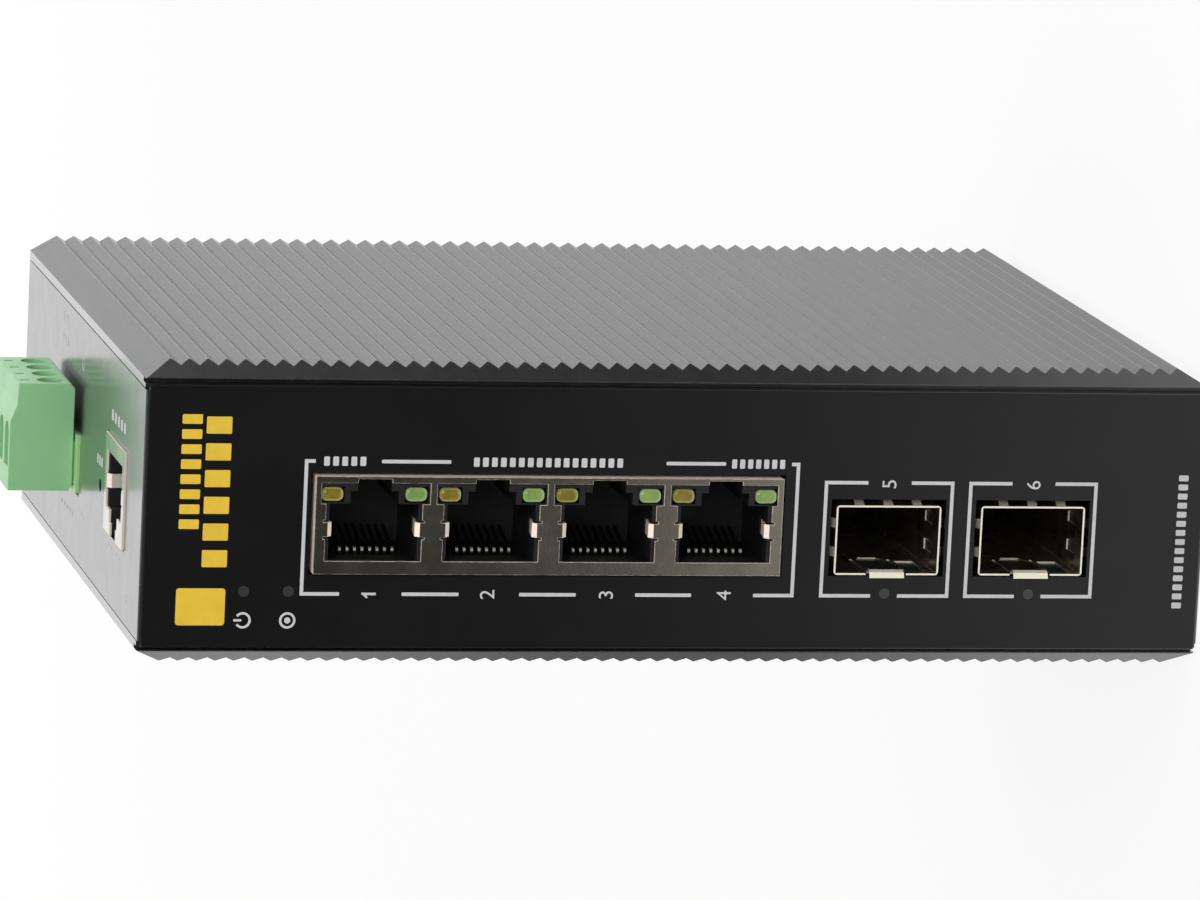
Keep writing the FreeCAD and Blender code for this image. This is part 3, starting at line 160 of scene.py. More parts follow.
def make_two_tone():
    """Two close colours in soft patches."""
    tree, takes, gives = effect("two_tone", [
        ("Vector", "Vector", None), ("Scale", "Float", 100.0),
        ("Main Color", "Color", None), ("Patch Color", "Color", None)], ("Color", "Color"))
    patches = cloud(tree, takes["Vector"], takes["Scale"], 3.0, 0.55)
    share = ramp(tree, patches, 0.35, 0.65)
    color = lay_over(tree, share, takes["Main Color"], takes["Patch Color"])
    tree.links.new(color, gives["Color"])
    return tree


def make_grained_edges():
    """Normal with eased edges and a fine grain on the faces."""
    tree, takes, gives = effect("grained_edges", [
        ("Vector", "Vector", None), ("Edge Radius", "Float", 0.00012),
        ("Grain Scale", "Float", 3000.0), ("Grain Depth", "Float", 0.1)], ("Normal", "Vector"))
    eased = put(tree, "Bevel", [("Radius", takes["Edge Radius"])], samples=4)
    relief = put(tree, "Bump", [
        ("Height", cloud(tree, takes["Vector"], takes["Grain Scale"], 3.0)),
        ("Strength", takes["Grain Depth"]), ("Distance", GRAIN_RISE),
        ("Normal", eased.outputs["Normal"])])
    tree.links.new(relief.outputs["Normal"], gives["Normal"])
    return tree


def make_edge_mask():
    """1 along the solid's edges, broken up a little, and 0 on its faces."""
    tree, takes, gives = effect("edge_mask", [
        ("Vector", "Vector", None), ("Radius", "Float", 0.0002)], ("Mask", "Float"))
    eased = put(tree, "Bevel", [("Radius", takes["Radius"])], samples=4)
    flat = put(tree, "NewGeometry")
    turn = put(tree, "VectorMath", [(0, eased.outputs["Normal"]), (1, flat.outputs["Normal"])],
               operation="DOT_PRODUCT")
    bent = ramp(tree, turn.outputs["Value"], 0.995, 0.85)
    broken = ramp(tree, cloud(tree, takes["Vector"], 900.0, 3.0), 0.35, 0.55, low=0.35)
    tree.links.new(combine(tree, "MULTIPLY", bent, broken), gives["Mask"])
    return tree


def make_facing_mask():
    """1 on the faces that look one way, 0 on the others."""
    tree, takes, gives = effect("facing_mask", [
        ("Normal", "Vector", None), ("Way", "Vector", (0.0, -1.0, 0.0)),
        ("Least", "Float", 0.8)], ("Mask", "Float"))
    turn = put(tree, "VectorMath", [(0, takes["Normal"]), (1, takes["Way"])],
               operation="DOT_PRODUCT")
    most = combine(tree, "ADD", takes["Least"], 0.15)
    tree.links.new(ramp(tree, turn.outputs["Value"], takes["Least"], most), gives["Mask"])
    return tree


def make_depth_mask():
    """0 up to the place Start along Way, 1 from End on."""
    tree, takes, gives = effect("depth_mask", [
        ("Vector", "Vector", None), ("Way", "Vector", (0.0, 1.0, 0.0)),
        ("Start", "Float", 0.0), ("End", "Float", 1.0)], ("Mask", "Float"))
    reached = put(tree, "VectorMath", [(0, takes["Vector"]), (1, takes["Way"])],
                  operation="DOT_PRODUCT")
    level = ramp(tree, reached.outputs["Value"], takes["Start"], takes["End"])
    tree.links.new(level, gives["Mask"])
    return tree


MOTTLE = make_mottle()
TWO_TONE = make_two_tone()
GRAINED_EDGES = make_grained_edges()
EDGE_MASK = make_edge_mask()
FACING_MASK = make_facing_mask()
DEPTH_MASK = make_depth_mask()


# ------------------------------------------------------------ finishes

LIT_FACE_LEAST = {"front": 0.45, "sides": 0.8}      # painted highlight faces: how squarely a front face looks front
GLOSS_PATCH = 2.3           # how much finer the gloss's patches are than the colour's
RIM_HIGHLIGHT_BLEND = 0.45


def worn_share(tree, place, radius, lit_faces, front_way):
    """Where the edge colour shows, which is wear on some pieces and a painted highlight on others:
    along the edges, and, as a painted highlight, on the front faces or on all others.
    """
    edges = use(tree, EDGE_MASK, [("Vector", place["Object"]), ("Radius", radius)])
    if not lit_faces:
        return edges.outputs["Mask"]
    front = use(tree, FACING_MASK, [
        ("Normal", place["Normal"]), ("Way", front_way), ("Least", LIT_FACE_LEAST[lit_faces])])
    faces = front.outputs["Mask"]
    if lit_faces == "sides":
        faces = combine(tree, "SUBTRACT", 1.0, faces)
    return combine(tree, "MAXIMUM", edges.outputs["Mask"], faces)


def end_coat(tree, place, strength):
    """Coat that lies on the faces that look up or down only."""
    upright = put(tree, "VectorMath", [(0, place["Normal"])], operation="ABSOLUTE")
    ends = use(tree, FACING_MASK, [
        ("Normal", upright.outputs["Vector"]), ("Way", (0.0, 0.0, 1.0))])
    return ramp(tree, ends.outputs["Mask"], 0.0, 1.0, high=strength)


def finish(name, main, patch, rough, stretch=(1, 1, 1), patch_scale=120.0, edge=0.00012,
           grain_scale=4000.0, grain=0.08, wear_and_highlight=None, wear_and_highlight_radius=0.0002, wear_and_highlight_metal=1.0,
           lit_faces=None, front_way=(0.0, -1.0, 0.0), rim_highlight=None, shade_along=None, ends=None, fixed=()):
    """A whole material: two close colours, uneven gloss, eased edges and grain.

    wear_and_highlight is a colour that shows along the edges: real wear on some pieces, a painted
    highlight on others; wear_and_highlight_metal is how metallic they stay there.
    rim_highlight is a painted highlight colour that shows where the surface turns away.
    lit_faces is "front" or "sides": the faces that show the painted highlight colour all
    over, where the front ones look along front_way.
    shade_along is a painted shade: a (colour, way, start, end) that the piece darkens to along
    way, between two places.
    ends is the coat's strength on the faces that look up or down, and it is 0 elsewhere.
    fixed are the shader's plain values.
    """
    material = bpy.data.materials.new(name)
    material.use_nodes = True
    tree = material.node_tree
    tree.nodes.clear()
    out = tree.nodes.new("ShaderNodeOutputMaterial")
    shader = put(tree, "BsdfPrincipled", fixed)
    tree.links.new(shader.outputs["BSDF"], out.inputs["Surface"])
    place = put(tree, "TexCoord").outputs
    run = put(tree, "Mapping", [("Vector", place["Object"]), ("Scale", stretch)])
    spread = run.outputs["Vector"]
    tones = use(tree, TWO_TONE, [
        ("Vector", spread), ("Scale", patch_scale),
        ("Main Color", main + (1.0,)), ("Patch Color", patch + (1.0,))])
    color = tones.outputs["Color"]
    # edge colour: wear on some pieces, a painted highlight on others, and on some also a painted
    # highlight over whole faces
    if wear_and_highlight:
        shows = worn_share(tree, place, wear_and_highlight_radius, lit_faces, front_way)
        color = lay_over(tree, shows, color, wear_and_highlight + (1.0,))
        if wear_and_highlight_metal < 1.0:
            metal = ramp(tree, shows, 0.0, 1.0, 1.0, wear_and_highlight_metal)
            tree.links.new(metal, shader.inputs["Metallic"])
    # painted highlight where the surface turns away
    if rim_highlight:
        turned = put(tree, "LayerWeight", [("Blend", RIM_HIGHLIGHT_BLEND)])
        color = lay_over(tree, turned.outputs["Facing"], color, rim_highlight + (1.0,))
    # painted shade: the piece darkens along way, deeper into its recess
    if shade_along:
        shade_color, way, start, end = shade_along
        depth = use(tree, DEPTH_MASK, [
            ("Vector", place["Object"]), ("Way", way), ("Start", start), ("End", end)])
        color = lay_over(tree, depth.outputs["Mask"], color, shade_color + (1.0,))
    if ends:
        tree.links.new(end_coat(tree, place, ends), shader.inputs["Coat Weight"])
    tree.links.new(color, shader.inputs["Base Color"])
    gloss = use(tree, MOTTLE, [
        ("Vector", spread), ("Scale", patch_scale * GLOSS_PATCH),
        ("Low", rough[0]), ("High", rough[1])])
    tree.links.new(gloss.outputs["Value"], shader.inputs["Roughness"])
    relief = use(tree, GRAINED_EDGES, [
        ("Vector", spread), ("Edge Radius", edge),
        ("Grain Scale", grain_scale), ("Grain Depth", grain)])
    tree.links.new(relief.outputs["Normal"], shader.inputs["Normal"])
    return material


METAL = [("Metallic", 1.0)]
CAGE_SHADE_START = FACE + 8 * MM             # painted shade inside the cages starts here
CAGE_SHADE_END = FACE + 26 * MM              # and is full from here
BEND_RISE = 2.65 * MM                   # port contacts, from their foot to their bend
contact_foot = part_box("port_block_contacts")[0]
CONTACT_BEND = contact_foot.y - (contact_foot.x + BEND_RISE)    # as depth less height

FINISHES = {
    # the lighter edge colour along the rib peaks is a painted highlight
    "black_anodised": finish(
        "black_anodised", (0.014, 0.0145, 0.015), (0.019, 0.0195, 0.02), (0.2, 0.24),
        stretch=(1, 0.06, 1), patch_scale=300.0, grain_scale=6000.0, grain=0.02,
        wear_and_highlight=(0.12, 0.12, 0.12), wear_and_highlight_radius=0.00012,
        ends=1.0, fixed=[("IOR", 1.75), ("Coat Roughness", 0.15)]),
    "black_coat": finish(
        "black_coat", (0.012, 0.012, 0.0125), (0.016, 0.016, 0.0165), (0.2, 0.26),
        patch_scale=90.0, grain_scale=2500.0, grain=0.02, edge=0.00008,
        fixed=[("IOR", 1.6), ("Coat Weight", 0.75), ("Coat Roughness", 0.2)]),
    "printed_film": finish(
        "printed_film", (0.0042, 0.0042, 0.0044), (0.0052, 0.0052, 0.0054), (0.3, 0.36),
        patch_scale=60.0, grain_scale=5000.0, grain=0.05, edge=0.00005,
        fixed=[("IOR", 1.42)]),
    "blackened_screw": finish(
        "blackened_screw", (0.05, 0.05, 0.052), (0.09, 0.088, 0.085), (0.3, 0.45),
        wear_and_highlight=(0.3, 0.3, 0.29), fixed=METAL),
    "plated_screw": finish(
        "plated_screw", (0.62, 0.61, 0.58), (0.5, 0.49, 0.46), (0.22, 0.34), fixed=METAL),
    "circuit_board": finish(
        "circuit_board", (0.003, 0.016, 0.008), (0.004, 0.022, 0.01), (0.35, 0.45),
        patch_scale=250.0, grain=0.06),
    "plated_brass": finish(
        "plated_brass", (0.6, 0.57, 0.5), (0.5, 0.47, 0.4), (0.25, 0.36), fixed=METAL),
    "chip_epoxy": finish(
        "chip_epoxy", (0.016, 0.016, 0.017), (0.024, 0.024, 0.025), (0.5, 0.62), grain=0.15),
    "thermal_rubber": finish(
        "thermal_rubber", (0.16, 0.2, 0.24), (0.2, 0.24, 0.28), (0.7, 0.8), grain=0.2),
    "can_sleeve": finish(
        "can_sleeve", (0.55, 0.55, 0.57), (0.45, 0.45, 0.47), (0.25, 0.35), fixed=METAL),
    "ferrite": finish(
        "ferrite", (0.03, 0.03, 0.032), (0.045, 0.044, 0.042), (0.55, 0.7), grain=0.2),
    # the shield's side faces and edges carry a painted highlight: a warm pale, less metallic
    # colour
    "tinned_shield": finish(
        "tinned_shield", (0.44, 0.405, 0.335), (0.34, 0.31, 0.25), (0.16, 0.24),
        patch_scale=160.0, wear_and_highlight=(1.0, 0.88, 0.76), wear_and_highlight_radius=0.00013, wear_and_highlight_metal=0.15,
        edge=0.0001, lit_faces="sides", fixed=METAL),
    # the console shield's edges and the faces that don't look up the case carry a painted
    # highlight
    "console_tin": finish(
        "console_tin", (0.74, 0.71, 0.68), (0.62, 0.59, 0.56), (0.16, 0.24),
        patch_scale=160.0, wear_and_highlight=(0.95, 0.84, 0.74), wear_and_highlight_radius=0.00013, wear_and_highlight_metal=0.2,
        edge=0.0001, lit_faces="sides", front_way=(0.0, 0.0, 1.0), fixed=METAL),
    # the cages' front faces and edges carry a painted highlight, and their inside a painted shade
    # that darkens deeper in
    "bright_cage": finish(
        "bright_cage", (0.6, 0.56, 0.44), (0.48, 0.44, 0.34), (0.24, 0.38),
        patch_scale=140.0, wear_and_highlight=(0.82, 0.8, 0.66), wear_and_highlight_radius=0.00008, wear_and_highlight_metal=0.1,
        edge=0.00008, lit_faces="front",
        shade_along=((0.45, 0.42, 0.31), (0.0, 1.0, 0.0), CAGE_SHADE_START, CAGE_SHADE_END),
        fixed=METAL),
    "socket_black": finish(
        "socket_black", (0.004, 0.004, 0.0042), (0.006, 0.006, 0.006), (0.5, 0.62),
        patch_scale=200.0, grain=0.12),
    # the contacts' white non-metallic edges are a painted glint, and their darkening past the bend
    # a painted shade
    "port_contact": finish(
        "port_contact", (0.95, 0.94, 0.9), (0.9, 0.88, 0.83), (0.5, 0.6),
        wear_and_highlight=(0.95, 0.95, 0.92), wear_and_highlight_radius=0.0001, wear_and_highlight_metal=0.0,
        shade_along=((0.02, 0.017, 0.012), (-1.0, 1.0, 0.0), CONTACT_BEND + 0.3 * MM,
              CONTACT_BEND + 0.5 * MM),
        fixed=METAL),
    "gold_contact": finish(
        "gold_contact", (0.75, 0.56, 0.26), (0.68, 0.5, 0.22), (0.16, 0.24),
        wear_and_highlight=(0.9, 0.88, 0.82), wear_and_highlight_radius=0.0001, wear_and_highlight_metal=0.5, fixed=METAL),
    # the lamps' rim colour is a painted highlight along their domed edges
    "yellow_lamp": finish(
        "yellow_lamp", (0.2, 0.165, 0.008), (0.12, 0.1, 0.004), (0.1, 0.16),
        patch_scale=700.0, rim_highlight=(0.95, 0.9, 0.3), edge=0.0003,
        fixed=[("Subsurface Weight", 0.5), ("Subsurface Scale", 0.001), ("Coat Weight", 1.0)]),
    "green_lamp": finish(
        "green_lamp", (0.22, 0.35, 0.08), (0.15, 0.26, 0.055), (0.1, 0.16),
        patch_scale=700.0, rim_highlight=(0.7, 0.95, 0.55), edge=0.0003,
        fixed=[("Subsurface Weight", 0.5), ("Subsurface Scale", 0.001), ("Coat Weight", 1.0)]),
    "frosted_pipe": finish(
        "frosted_pipe", (0.03, 0.031, 0.031), (0.024, 0.025, 0.025), (0.35, 0.45),
        fixed=[("Coat Weight", 0.3)]),
    "lamp_ceramic": finish(
        "lamp_ceramic", (0.75, 0.72, 0.5), (0.7, 0.66, 0.42), (0.4, 0.5)),
    "green_moulding": finish(
        "green_moulding", (0.3, 0.62, 0.305), (0.28, 0.58, 0.285), (0.32, 0.4),
        patch_scale=70.0, grain_scale=2500.0, grain=0.08, edge=0.0002,
        fixed=[("Subsurface Weight", 0.05), ("Subsurface Scale", 0.001)]),
    # the header's green: partly its own yellower tone, partly painted light, paler than the plug's
    # to stand in for the front light it catches
    "yellower_green_and_painted_light": finish(
        "yellower_green_and_painted_light", (0.4, 0.74, 0.32), (0.36, 0.68, 0.29), (0.32, 0.4),
        patch_scale=70.0, grain_scale=2500.0, grain=0.08, edge=0.0002,
        fixed=[("Subsurface Weight", 0.05), ("Subsurface Scale", 0.001)]),
    "black_moulding": finish(
        "black_moulding", (0.018, 0.018, 0.019), (0.026, 0.026, 0.027), (0.45, 0.58),
        patch_scale=80.0, grain_scale=1800.0, grain=0.25, edge=0.0002),
    "spring_wire": finish(
        "spring_wire", (0.55, 0.55, 0.55), (0.45, 0.45, 0.45), (0.2, 0.3), fixed=METAL),
    "white_ink": finish(
        "white_ink", (0.56, 0.56, 0.57), (0.52, 0.52, 0.53), (0.5, 0.6),
        patch_scale=400.0, grain=0.1, edge=0.00002),
    "yellow_ink": finish(
        "yellow_ink", (0.76, 0.5, 0.024), (0.71, 0.465, 0.021), (0.5, 0.6),
        patch_scale=400.0, grain=0.1, edge=0.00002),
}

WEARS = {
    "black_anodised": ["side_cover_right", "side_cover_left"],
    "black_coat": ["chassis", "rear_plate"],
    "printed_film": ["front_film"],
    "blackened_screw": ["front_cover_screws", "rear_cover_screws"],
    "plated_screw": ["board_screws", "din_clip_screws", "clip_nuts"]
    + ["terminal_screw_%d" % n for n in (1, 2, 3, 4)],
    "circuit_board": ["main_board"],
    "plated_brass": ["board_standoffs", "header_pins", "plug_contacts"]
    + ["terminal_clamp_%d" % n for n in (1, 2, 3, 4)],
    "chip_epoxy": ["switch_chip", "support_chips"],
    "thermal_rubber": ["thermal_pad"],
    "can_sleeve": ["capacitors"],
    "ferrite": ["power_inductors", "power_transformer"],
    "tinned_shield": ["port_block_shield"],
    "console_tin": ["console_shield"],
    "bright_cage": ["sfp_cage_lower", "sfp_cage_upper"],
    "socket_black": [
        "port_block_housing", "console_housing", "sfp_connectors", "reset_switch"],
    "port_contact": ["port_block_contacts"],
    "gold_contact": ["console_contacts", "sfp_contacts"],
    "yellow_lamp": ["port_lamps_yellow"],
    "green_lamp": ["port_lamps_green"],
    "frosted_pipe": ["status_light_pipes"],
    "lamp_ceramic": ["status_lamps"],
    "green_moulding": ["terminal_plug"],
    "yellower_green_and_painted_light": ["terminal_header"],
    "black_moulding": ["din_clip_base", "din_latch", "reset_button"],
}


def shown(name, mesh, finish_name):
    """A piece in the scene, with its mesh and its finish."""
    mesh.materials.clear()
    mesh.materials.append(FINISHES[finish_name])
    piece = bpy.data.objects.new(name, mesh)
    bpy.context.scene.collection.objects.link(piece)
    return piece


for finish_name, names in WEARS.items():
    for name in names:
        for holder in parts[name].material_slots:
            holder.material = FINISHES[finish_name]


# ------------------------------------------------------------ latch spring

SPRING_WIRE = 0.4 * MM
SPRING_TURNS = 5
TURN_STEPS = 24
WIRE_SIDES = 10


def spring_wire_ring(centre, outward, radius):
    """The wire's section at one place of the coil."""
    thick = SPRING_WIRE / 2
    ring = []
    for k in range(WIRE_SIDES):
        around = 2 * math.pi * k / WIRE_SIDES
        ring.append(centre + outward * (radius + thick * math.cos(around))
                    + Vector((0, 0, thick * math.sin(around))))
    return ring


def latch_spring():
    """The latch's spring as a coil at rest; the real one shortens towards its fixed lower end as
    the latch is pulled.
    """
    low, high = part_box("din_latch_spring")
    middle = (low + high) / 2
    radius = (high.x - low.x - SPRING_WIRE) / 2
    rise = high.z - low.z - SPRING_WIRE
    steps = SPRING_TURNS * TURN_STEPS
    corners = []
    for n in range(steps + 1):
        turn = 2 * math.pi * n / TURN_STEPS
        outward = Vector((math.cos(turn), math.sin(turn), 0))
        height = low.z + SPRING_WIRE / 2 + rise * n / steps
        corners += spring_wire_ring(Vector((middle.x, middle.y, height)), outward, radius)
    faces = [tuple(range(WIRE_SIDES))]
    for n in range(steps):
        here, there = n * WIRE_SIDES, (n + 1) * WIRE_SIDES
        for k in range(WIRE_SIDES):
            beside = (k + 1) % WIRE_SIDES
            faces.append((here + k, there + k, there + beside, here + beside))
    faces.append(tuple(reversed(range(steps * WIRE_SIDES, (steps + 1) * WIRE_SIDES))))
    mesh = bpy.data.meshes.new("latch_spring_coil")
    mesh.from_pydata(corners, [], faces)
    mesh.shade_smooth()
    piece = shown("latch_spring_coil", mesh, "spring_wire")
    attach(piece, "switch")
    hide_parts("din_latch_spring")
    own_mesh(piece)


latch_spring()


# ------------------------------------------------------------ print
# places and sizes here are in mm: across the case, up from its foot, back from its face

INK_PROUD = 0.02            # in front of the face that it lies on
INK_SUNK = 0.005            # and behind it
LINE = 0.48                 # a printed line's width
SOFT = 0.1                  # radius of a printed bar's corners


def on_film(across_mm, up_mm, proud):
    return spot(across_mm, -proud, up_mm)


def on_end(across_mm, back_mm, proud):
    """The end that the plug goes into."""
    return spot(across_mm, back_mm, CASE_LENGTH + proud)


def ink_outline(points, lay):
    """A closed flat shape of ink, on the face that lay puts its points on."""
    count = len(points)
    front = [lay(x, z, INK_PROUD) for x, z in points]
    back = [lay(x, z, -INK_SUNK) for x, z in points]
    faces = [tuple(range(count)), tuple(range(2 * count - 1, count - 1, -1))]
    for i in range(count):
        j = (i + 1) % count
        faces.append((j, i, count + i, count + j))
    return front + back, faces


def ink_piece(name, shapes, finish_name="white_ink", lay=on_film):
    """Shapes of one ink as one piece."""
    vertices, faces = [], []
    for shape in shapes:
        turn = sum(x0 * z1 - x1 * z0
                   for (x0, z0), (x1, z1) in zip(shape, shape[1:] + shape[:1]))
        if turn < 0:
            shape = shape[::-1]
        more, sides = ink_outline(shape, lay)
        start = len(vertices)
        vertices += more
        faces += [tuple(i + start for i in side) for side in sides]
    mesh = bpy.data.meshes.new(name)
    mesh.from_pydata(vertices, [], faces)
    mesh.update()
    piece = shown(name, mesh, finish_name)
    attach(piece, "switch")
    return piece


def bar(x0, x1, z0, z1, soft=SOFT):
    """Rectangle with slightly rounded corners."""
    points = []
    corners = [(x1 - soft, z1 - soft, 0), (x0 + soft, z1 - soft, 90),
               (x0 + soft, z0 + soft, 180), (x1 - soft, z0 + soft, 270)]
    for x, z, start in corners:
        for step in (0, 30, 60, 90):
            angle = math.radians(start + step)
            points.append((x + soft * math.cos(angle), z + soft * math.sin(angle)))
    return points


def along(x, z0, z1):
    """Printed line that runs up the case."""
    return bar(x - LINE / 2, x + LINE / 2, min(z0, z1), max(z0, z1))


def ring(x, z, radius, width, open_from=0, open_to=0):
    """Ring, or an arc of it that leaves out the angles between open_from and open_to."""
    first, last = open_to, 360 + open_from
    steps = max(12, int((last - first) / 10))
    turns = [math.radians(first + (last - first) * i / steps) for i in range(steps + 1)]
    outer = [(x + (radius + width / 2) * math.cos(a), z + (radius + width / 2) * math.sin(a))
             for a in turns]
    inner = [(x + (radius - width / 2) * math.cos(a), z + (radius - width / 2) * math.sin(a))
             for a in reversed(turns)]
    return outer + inner


def stroke(points):
    """A line along square turns, as one outline."""
    left, right = [], []
    for i, (x, z) in enumerate(points):
        ways = []
        for a, b in ((i - 1, i), (i, i + 1)):
            if a >= 0 and b < len(points):
                run = Vector(points[b]) - Vector(points[a])
                ways.append(run.normalized())
        side = Vector((-ways[0].y, ways[0].x))
        if len(ways) == 2:
            side += Vector((-ways[1].y, ways[1].x))
        left.append((x + side.x * LINE / 2, z + side.y * LINE / 2))
        right.append((x - side.x * LINE / 2, z - side.y * LINE / 2))
    return left + right[::-1]


def frame_end(edge, x_from, z_from, x_to, z_to):
    """A frame's end: from one long line's stub over the edge to the other's."""
    return stroke([(x_from, z_from), (x_from, edge), (x_to, edge), (x_to, z_to)])


TOP_LINE = 7.6              # the port frame's two long lines
LOW_LINE = -10.3
FRAME_HIGH = 123.91
FRAME_LOW = 57.05
TOP_DASHES = ((113.8, 104.44), (75.18, 67.04))
LOW_DASHES = ((110.38, 102.68), (94.45, 86.73), (78.61, 70.93))


def port_frame():
    lines = [frame_end(FRAME_HIGH, TOP_LINE, 122.7, LOW_LINE, 118.83),
             frame_end(FRAME_LOW, TOP_LINE, 57.97, LOW_LINE, 62.4)]
    lines += [along(TOP_LINE, *ends) for ends in TOP_DASHES]
    lines += [along(LOW_LINE, *ends) for ends in LOW_DASHES]
    ink_piece("port_frame_print", lines)


CAGE_LINE = 5.17            # a cage frame's line beside the cage's number
CAGE_HIGH = 53.06
CAGE_LOW = 35.58
CAGE_PITCH = 20.03


def cage_frames():
    lines = []
    for shift in (0.0, -CAGE_PITCH):
        lines += [
            frame_end(CAGE_HIGH + shift, CAGE_LINE, 47.29 + shift, LOW_LINE, 46.21 + shift),
            frame_end(CAGE_LOW + shift, CAGE_LINE, 41.28 + shift, LOW_LINE, 42.48 + shift)]
    ink_piece("cage_frame_print", lines)


port_frame()
cage_frames()


BLOCK_FILL = 0.64           # a block's share of its pitch
BLOCK_SOFT = 0.15


def stretches(start, end, count, fill):
    """Even stretches from start to end, with gaps between them."""
    pitch = (end - start) / count
    gap = (1 - fill) / 2
    return [(start + pitch * (i + gap), start + pitch * (i + 1 - gap)) for i in range(count)]


def blocks(x, high, low, count, width=1.25):
    """A row of plain small blocks that runs down the case."""
    return [bar(x - width / 2, x + width / 2, z0, z1, BLOCK_SOFT)
            for z0, z1 in stretches(low, high, count, BLOCK_FILL)]


def columns(z, x0, x1, count, width=1.35):
    """The same across the case."""
    return [bar(a, b, z - width / 2, z + width / 2, BLOCK_SOFT)
            for a, b in stretches(x0, x1, count, BLOCK_FILL)]


def end_rows(near, far, across_mm, tall, count, fill=0.56):
    """The same back along the end, tall mm across it."""
    return [bar(across_mm, across_mm + tall, a, b)
            for a, b in stretches(near, far, count, fill)]


SIGN_X = -13.9              # the two signs beside the status lamps' windows
SIGN_R = 0.95
SIGN_LINE = 0.32
POWER_UP = 131.65
RUN_UP = 125.65

ink_piece("speed_marks_print",
          blocks(TOP_LINE, 121.8, 115.7, 5) + blocks(TOP_LINE, 101.6, 80.9, 17)
          + blocks(TOP_LINE, 66.4, 58.7, 7) + columns(3.3, -12.1, 6.7, 15))
ink_piece("power_mark_print", [
    ring(SIGN_X, POWER_UP, SIGN_R, SIGN_LINE, 55, 125),
    bar(SIGN_X - 0.16, SIGN_X + 0.16, POWER_UP + 0.15, POWER_UP + 1.25)])
ink_piece("run_mark_print", [
    ring(SIGN_X, RUN_UP, SIGN_R, SIGN_LINE), ring(SIGN_X, RUN_UP, 0.22, 0.4)])
ink_piece("corner_marks_print",
          columns(139.35, -2.0, 14.1, 8, 2.7) + columns(135.75, -7.4, 14.1, 6, 3.4)
          + [bar(-14.6, -9.6, 134.1, 140.7, 0.4)], "yellow_ink")
ink_piece("end_marks_print",
          end_rows(15.2, 28.0, 7.95, 1.45, 5) + end_rows(33.6, 39.0, 0.0, 1.3, 3)
          + end_rows(67.2, 73.2, 13.9, 1.2, 3, 0.3) + end_rows(67.0, 73.0, 10.9, 1.2, 3, 0.3)
          + end_rows(57.5, 69.5, -11.3, 0.5, 5, 0.4) + end_rows(48.2, 51.8, -9.9, 0.5, 2, 0.4)
          + end_rows(17.0, 28.0, -9.4, 0.5, 5, 0.4)
          + [ring(10.9, 53.6, 0.85, 0.25), bar(-13.8, -12.7, 10.6, 11.0)],
          lay=on_end)


def number_one(name, x, z):
    """The figure 1 with its flag."""
    return ink_piece(name, [[
        (x + 0.19, z - 0.98), (x + 0.19, z + 0.98), (x - 0.06, z + 0.98), (x - 0.22, z + 0.66),
        (x - 0.52, z + 0.4), (x - 0.52, z + 0.08), (x - 0.15, z + 0.28), (x - 0.15, z - 0.98)]])


DIGIT_HEIGHT = 1.95
CAGE_DIGIT_X = 5.0


def digit(name, words, x, z):
    """A plain number that stands upright when the switch is on its rail."""
    curve = bpy.data.curves.new(name + "_outline", "FONT")
    curve.body = words
    curve.size = 1.0
    curve.resolution_u = 3
    source = bpy.data.objects.new(name + "_outline", curve)
    bpy.context.scene.collection.objects.link(source)
    bpy.context.view_layer.update()
    mesh = bpy.data.meshes.new_from_object(source)
    bpy.data.objects.remove(source)
    low = Vector([min(v.co[axis] for v in mesh.vertices) for axis in (0, 1)])
    high = Vector([max(v.co[axis] for v in mesh.vertices) for axis in (0, 1)])
    scale = DIGIT_HEIGHT / (high.y - low.y)
    for vertex in mesh.vertices:
        flat = (vertex.co.xy - (low + high) / 2) * scale
        vertex.co = spot(x + flat.x, -INK_PROUD, z + flat.y)
    mesh.name = name
    piece = shown(name, mesh, "white_ink")
    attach(piece, "switch")


number_one("port_number_1", LOW_LINE, 114.85)
for number, height in enumerate((98.8, 82.6, 66.45), start=2):
    digit("port_number_%d" % number, str(number), LOW_LINE, height)
for number, height in enumerate((44.35, 24.3), start=5):
    digit("cage_number_%d" % number, str(number), CAGE_DIGIT_X, height)


# ------------------------------------------------------------ stage
# places here are in metres

FLOOR_REACH = 6.0
CLOTH = 0.88
NEAR_GLOW = 0.86            # plain white's share of the floor that the camera sees by the switch
GLOW_FROM, GLOW_TO = 0.25, 1.1          # and where it is white altogether
GLOSS_DARK = 0.1            # floor and room in the switch's gloss, before its face
POOL_FROM, POOL_TO = FACE - 0.45, FACE + 0.02
SIDE_REACH = 0.25           # the floor's gloss fades to both sides within this
SIDE_STOPS = ((0.1, 0.35), (0.42, 1.0), (0.55, 1.0), (0.9, 0.1))
FAR_FROM, FAR_TO = FACE + 0.25, FACE + 0.5      # beyond this it doesn't fade
ROOM_FROM, ROOM_TO = -0.3, 0.5
ROOM_LIGHT = 0.55


def side_fade(tree, across_floor):
    """Bright in the middle of the floor, dark to both sides."""
    share = ramp(tree, across_floor, -SIDE_REACH, SIDE_REACH)
    node = put(tree, "ValToRGB", [("Fac", share)])
    stops = node.color_ramp.elements
    for stop, (place, level) in zip((stops[0], stops[1]), (SIDE_STOPS[0], SIDE_STOPS[-1])):
        stop.position, stop.color = place, (level, level, level, 1.0)
    for place, level in SIDE_STOPS[1:-1]:
        stops.new(place).color = (level, level, level, 1.0)
    return node.outputs["Color"]


